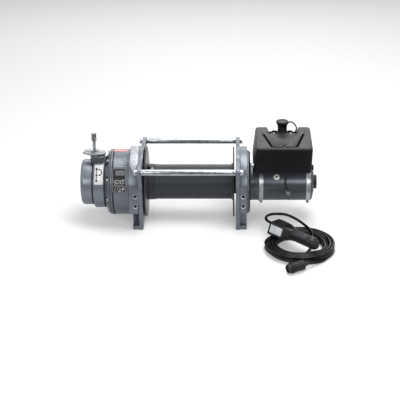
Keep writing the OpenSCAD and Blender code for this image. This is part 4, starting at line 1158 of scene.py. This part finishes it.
def hand_head():
    """The head of the hand control, whose right end blends into the round of the handle."""
    end_disc = (0, HANDLE_Z, HANDLE_Z)
    rings = []
    for inset in (0.12, 0.5, 1.2, 2.4, 4.0, 6.0, 8.0, 10.0):
        corners = [(y, z, math.sqrt(r * r - max(0, r - inset) ** 2)) for y, z, r in HAND_BODY]
        rings.append(cornered_ring(-HAND_HALF + inset, corners))
    for x in (-78, -68, -56, -44, -36, -30, -25, -20, -15, -11, -8, -5.5, -3.5, -2):
        corners = []
        for corner, start, sharp in zip(HAND_BODY, (-80, -50, -34, -30), (1.0, 1.8, 1.5, 1.4)):
            t = min(1, max(0, (x - start) / (-3 - start))) ** sharp
            corners.append(tuple(u + (v - u) * t for u, v in zip(corner, end_disc)))
        rings.append(cornered_ring(x, corners))
    head = lofted("hand_head", rings)
    cut(head, put(bar("gland_cut", 8.2, -1, 4, 40), at(-HAND_HALF, GLAND_Y, GLAND_Z) @ ALONG_X))
    fitted(smooth(put(outward(head), HAND), 34), "hand_plastic", "hand_control_head")


def hand_ridge():
    """The raised line along the top of the head, and the rocker behind it."""
    ridge = block("hand_ridge", (-84, -9.6, 39.2), (-34, -7.6, 40.9), 0.8, 3)
    rocker = [(-74, -2), (-66, -4), (-50, -4), (-42, -2), (-39, 5), (-42, 12), (-50, 14), (-66, 14), (-74, 12),
              (-77, 5)]
    rocker = outlined("hand_rocker", rocker, 2.6, 1.0, 3)
    for vert in rocker.data.vertices:
        if vert.co.z > 1.5 * MM:
            vert.co.z += (1.6 * abs(vert.co.x / MM + 58) / 19 - 0.9) * MM
    put(rocker, at(0, 0, 38.8))
    added_trim(smooth(put(joined("hand_ridge", [ridge, rocker]), HAND)), "black_rubber", "black_rubber")


def hand_grip():
    """The ribbed handle, from places along it and their radii, cut slanting at its end."""
    slant, slant_from, slant_over = 0.30, 60, 20
    stations = [(-2, 18.6), (-0.5, 19), (3, 19), (4.4, 17.6), (6.2, 17.2)]
    x = 10
    while x < 62:
        stations += [(x, 17.8), (x + 0.8, 17.2), (x + 1.8, 17.2), (x + 2.6, 17.8)]
        x += 6.2
    stations += [(66, 18), (80, 18), (85, 17.6), (89, 16.2), (92, 13.2), (93.6, 8.6), (94, 4)]
    rings = []
    for x, r in stations:
        ring = squarish_ring(x, r)
        for point in ring:
            if x > slant_from:
                point.x -= (point.z - HANDLE_Z * MM) * slant * min(1, (x - slant_from) / slant_over)
        rings.append(ring)
    fitted(smooth(put(lofted("hand_grip", rings), HAND), 40), "grip_plastic", "hand_control_handle")


def hand_pad():
    """A flat pad let into the top of the handle, towards its front."""
    pad = block("hand_pad", (1, -9.5, 16.2), (60, 9.5, 18.9), 1.1, 3)
    added_trim(smooth(put(pad, HAND @ at(0, 0, HANDLE_Z) @ spun(28, "X"))), "pad_plastic", "grip_plastic")


def hand_plate():
    """The bare plate on the leaning front of the head."""
    plate = outlined("hand_plate", rounded_rectangle(50, 25, 2), 0.9, 0.25)
    put(plate, HAND @ at(-84, -25, 6) @ spun(-FRONT_LEAN, "X") @ at(0, -5.5, 3) @ spun(90, "X"))
    fitted(smooth(plate), "grey_plate", "hand_control_plate")


def hand_gland():
    """A tapered sleeve with rings round it, where the cord leaves the head."""
    wide, narrow, count = 8, 5.6, 5
    step = GLAND_LEN / count
    profile = [(0, 0)]
    for i in range(count):
        z, r = step * i, wide + (narrow - wide) * i / count
        profile += [(r, z), (r, z + step * 0.5), (r - 0.9, z + step * 0.6), (r - 0.9, z + step * 0.9)]
    profile += [(narrow, GLAND_LEN), (0, GLAND_LEN)]
    sleeve = turned("hand_sleeve", softened(profile, 0.3, 2), 48)
    put(sleeve, HAND @ at(GLAND_FOOT, GLAND_Y, GLAND_Z) @ spun(-90, "Y"))
    fitted(sleeve, "black_rubber", "hand_control_gland")


def plug():
    """The plug: a boot, a ribbed body, a loose ring, and pins inside its mouth."""
    body_end, length, r = 34.8, 58, 16
    profile = [(0, -16), (5.4, -16), (6.4, -12), (5.8, -11), (7.6, -7.6), (7.0, -6.6), (9, -3), (13, 0),
               (r - 1, 1.6), (r, 4)]
    for z in (6 + i * 4.8 for i in range(5)):
        profile += [(r, z), (r - 1, z + 0.7), (r - 1, z + 1.9), (r, z + 2.6)]
    profile += [(r, body_end), (r - 2.1, body_end), (r - 2.1, length - 1), (r - 3, length), (r - 4.5, length),
                (r - 4.5, length - 14), (0, length - 14)]
    shell = put(turned("plug_shell", softened(profile, 0.4, 2), 72), PLUG)
    fitted(shell, "black_plastic", "cord_plug")
    spots = [polar(6.6, 60 * i) for i in range(6)] + [(0, 0)]
    pins = [put(bar("plug_pin", 1.3, length - 14.5, length - 4, 16, 0.5), at(*spot, 0)) for spot in spots]
    pins = added_trim(put(joined("plug_pins", pins), PLUG), "bright_steel", "bright_steel")
    ring = turned("plug_nut", softened([(14.3, 0), (17, 0), (17, 14), (14.3, 14)], 0.9), 96, closed=True)
    wavered(ring, lambda r, a, z: GRIP_DEPTH * max(0, math.cos(GRIPS * a)) ** 3
            if r > 16.2 and 1.5 < z < 12.5 else 0)
    put(ring, PLUG @ at(0, 0, body_end))
    return shell, pins, fitted(smooth(ring, 50), "black_rubber", "cord_plug_ring")


# Cords: the hand control's, whose points are counted from the middle of its coil, and the earth lead
CORD_D, LEAD_D = 9, 4
TAIL = [(-101, 113.5, 48.5), (-103.5, 129, 48.8), (-99, 144, 48.5), (-89, 156.5, 48), (-77, 162.5, 47.5),
        (-65, 164, 47.2), (-46, 162, 47), (-28, 154, 45.5), (-9, 141, 41.5), (8, 124, 37.5), (22, 104, 34.5),
        (32, 84, 34), (38.5, 64, 33.5), (42, 45, 30), (43, 27, 24), (41, 9, 17), (36, -8, 11), (28, -24, 7),
        (17, -38, 5), (4, -49, 4.6), (-9.7, -55.1, 4.6), (-25.4, -57.1, 4.6), (-40.9, -54.3, 4.6),
        (-54.7, -47.6, 4.6), (-65.6, -37.9, 4.6)]
LEAD = [(70, -86, 4.8), (57.5, -98.5, 6.5), (45.5, -109.5, 10), (32.5, -119.5, 14)]
COIL_PLACES = [(77, 4.6), (77, 14), (77, 23.4), (87, 23.4), (87, 14), (87, 4.6), (97, 4.6), (97, 14),
               (97, 23.4), (107, 23.4), (107, 14), (107, 4.6)]
COIL_START, COIL_TURN = -161, 3840.6
FIRST_CHANGE, CHANGE_EVERY, CHANGE_OVER = 240, 335, 45


def coil_point(turned_by):
    """A point of the coil: it stays in one place of its ring for most of a turn, then moves to the next."""
    at_place = 0.0
    for k in range(len(COIL_PLACES) - 1):
        t = min(1, max(0, (turned_by - FIRST_CHANGE - k * CHANGE_EVERY) / CHANGE_OVER))
        at_place += t * t * (3 - 2 * t)
    k = min(int(at_place), len(COIL_PLACES) - 2)
    (r0, z0), (r1, z1) = COIL_PLACES[k], COIL_PLACES[k + 1]
    part = at_place - k
    return Vector((*polar(r0 + (r1 - r0) * part, COIL_START - turned_by), z0 + (z1 - z0) * part))


def cord_piece(name, points, diameter, nodes, **facts):
    """A cord along points in metres."""
    cord = fitted(line_of(name, points, diameter / 2 * MM), "cord_rubber", *nodes)


def control_cord(plug_pieces):
    """One cord from the hand control, over its coil and round it, to the plug."""
    tip = GLAND_FOOT - GLAND_LEN
    start, then = (HAND @ in_metres((x, GLAND_Y, GLAND_Z)) for x in (tip, tip - 14))
    tail = [start / MM - COIL / MM, then / MM - COIL / MM] + [Vector(point) for point in TAIL]
    steps = int(COIL_TURN / 10)
    coil = [coil_point(COIL_TURN * i / steps) for i in range(steps + 1)]
    back = PLUG @ in_metres((0, 0, -16))
    lead = [Vector(point) for point in LEAD] + [back / MM - COIL / MM]
    route = flowing(tail + coil[:2], 4)[:-5] + coil + flowing(coil[-2:] + lead, 4)[5:]
    cord_piece("control_cord", [point * MM + COIL for point in route], CORD_D,
               ("cord_tail", "cord_coil", "cord_lead"), far_end="plug", stiffness="medium", lay="coiled",
               with_pieces=list(plug_pieces))


def earth_cable():
    """The lead from under the pack down to the eye of its lug."""
    x, plate = middle("earth_stud")[0], box("pack_base_plate")[0][2]
    route = [(x - 6, -71, plate - 0.1), (x - 6, -71, plate - 8), (x - 8, -69.5, plate - 22),
             (x - 10, -68, AXIS_H + 32), (x - 10, -67, AXIS_H + 18), (x - 8, -66.5, AXIS_H + 6),
             (x - 5, -66, AXIS_H - 2), (x - 2.6, -66.2, AXIS_H - 7.5)]
    cord_piece("earth_cable", [point * MM for point in flowing(route, 6)], LEAD_D, ("earth_lead",),
               far_end="object", stiffness="stiff", lay="hanging")


for make in (bolted_ring, lever, castle_nut, knob_post, knob_spring, dark_plate_marks, white_label_marks,
             left_support, seals, countersinks, tie_rods, barrel, motor_flange, terminals, earth_cable,
             pack_hood, pack_catch, socket, socket_lid, lid_strap, hand_head, hand_ridge, hand_grip, hand_pad,
             hand_plate, hand_gland):
    make()
bent_plate("housing_plate", "rating_plate", "black_plate", 2.5)
bent_plate("housing_top_strip", "top_strip", "red_strip", 1.0)
bent_plate("clutch_ring_label", "ring_label", "white_plate", 2.0)
flange("left")
flange("right")
control_cord(plug())


# Studio, in metres: a pale floor, surroundings white above and behind and dim in front, and soft lamps
FLOOR_SIZE, FLOOR_GAP = 60.0, 0.0005
FLOOR_TONE, FLOOR_GLOW = 0.8, 0.25
FLOOR_SEEN = (0.16, 0.62)
AMBIENT, FRONT_DIM = 0.22, 0.12
SKY_COLOUR = (0.97, 0.985, 1)


def shown_to(tree):
    """Two masks: what the camera sees, and what shiny surfaces see."""
    path = added(tree, "LightPath")
    return path["Is Camera Ray"], maths(tree, "MAXIMUM", path["Is Glossy Ray"], path["Is Transmission Ray"])


def world():
    """White to the camera. Shiny surfaces see it white above and behind the winch and dim in front of it."""
    scene_world = bpy.data.worlds.new("studio")
    bpy.context.scene.world = scene_world
    scene_world.use_nodes = True
    tree = scene_world.node_tree
    tree.nodes.clear()
    camera_ray, shiny = shown_to(tree)
    way = added(tree, "SeparateXYZ", {0: added(tree, "TexCoord")["Generated"]})
    lean = maths(tree, "ADD", way["Z"], maths(tree, "MULTIPLY", way["Y"], 0.6))
    plain = ranged(tree, shiny, 0, 1, AMBIENT, ranged(tree, lean, -0.2, 0.75, FRONT_DIM, 1.0))
    strength = ranged(tree, camera_ray, 0, 1, plain, 1.0)
    sky = added(tree, "Background", {"Color": SKY_COLOUR, "Strength": strength})
    added(tree, "OutputWorld", {"Surface": sky[0]})


def floor():
    """A pale floor that keeps the shadow, and looks dimmer in front of the winch to shiny surfaces."""
    bpy.ops.mesh.primitive_plane_add(size=FLOOR_SIZE, location=(0, 0, -FLOOR_GAP))
    obj = named("studio_floor")
    material = bpy.data.materials.new("studio_floor")
    material.use_nodes = True
    tree = material.node_tree
    tree.nodes.clear()
    camera_ray, shiny = shown_to(tree)
    across = added(tree, "SeparateXYZ", {0: object_place(tree)})["Y"]
    behind = ranged(tree, across, -0.85, -0.3, 0.0, 1.0)
    tone = ranged(tree, shiny, 0, 1, FLOOR_TONE, ranged(tree, behind, 0, 1, *FLOOR_SEEN))
    diffuse = added(tree, "BsdfDiffuse", {"Color": mixed(tree, tone, (0, 0, 0), (1, 1, 1))})[0]
    lit = maths(tree, "MULTIPLY", ranged(tree, shiny, 0, 1, camera_ray, behind), FLOOR_GLOW)
    glow = added(tree, "Emission", {"Strength": lit})[0]
    added(tree, "OutputMaterial", {"Surface": added(tree, "AddShader", {0: diffuse, 1: glow})[0]})
    obj.data.materials.append(material)
    obj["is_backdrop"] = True


def soft_lamp(name, location, aim, size, power):
    data = bpy.data.lights.new(name, "AREA")
    data.shape = "RECTANGLE"
    data.size, data.size_y = size
    data.energy = power
    aimed(linked(name, data), location, aim).visible_camera = False


bpy.context.scene.view_settings.view_transform = "Standard"
camera()
world()
floor()
for lamp in (("top_lamp", (0.45, 0.12, 2.3), (0.3, 0, 0.1), (2.0, 1.3), 44),
             ("front_lamp_left", (-1.05, -2.3, 1.14), (-0.25, 0, 0.12), (1.1, 0.6), 15),
             ("front_lamp_right", (0.92, -2.3, 1.14), (0.3, 0, 0.12), (1.2, 0.6), 15),
             ("back_lamp", (0.1, 2.5, 1.4), (0.1, 0, 0.15), (2.8, 0.7), 14),
             ("left_lamp", (-2.2, -0.6, 1.1), (-0.1, 0, 0.12), (0.6, 1.2), 5),
             ("right_lamp", (2.5, -0.8, 1.0), (0.3, 0, 0.2), (0.6, 1.2), 6)):
    soft_lamp(*lamp)

low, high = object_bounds()
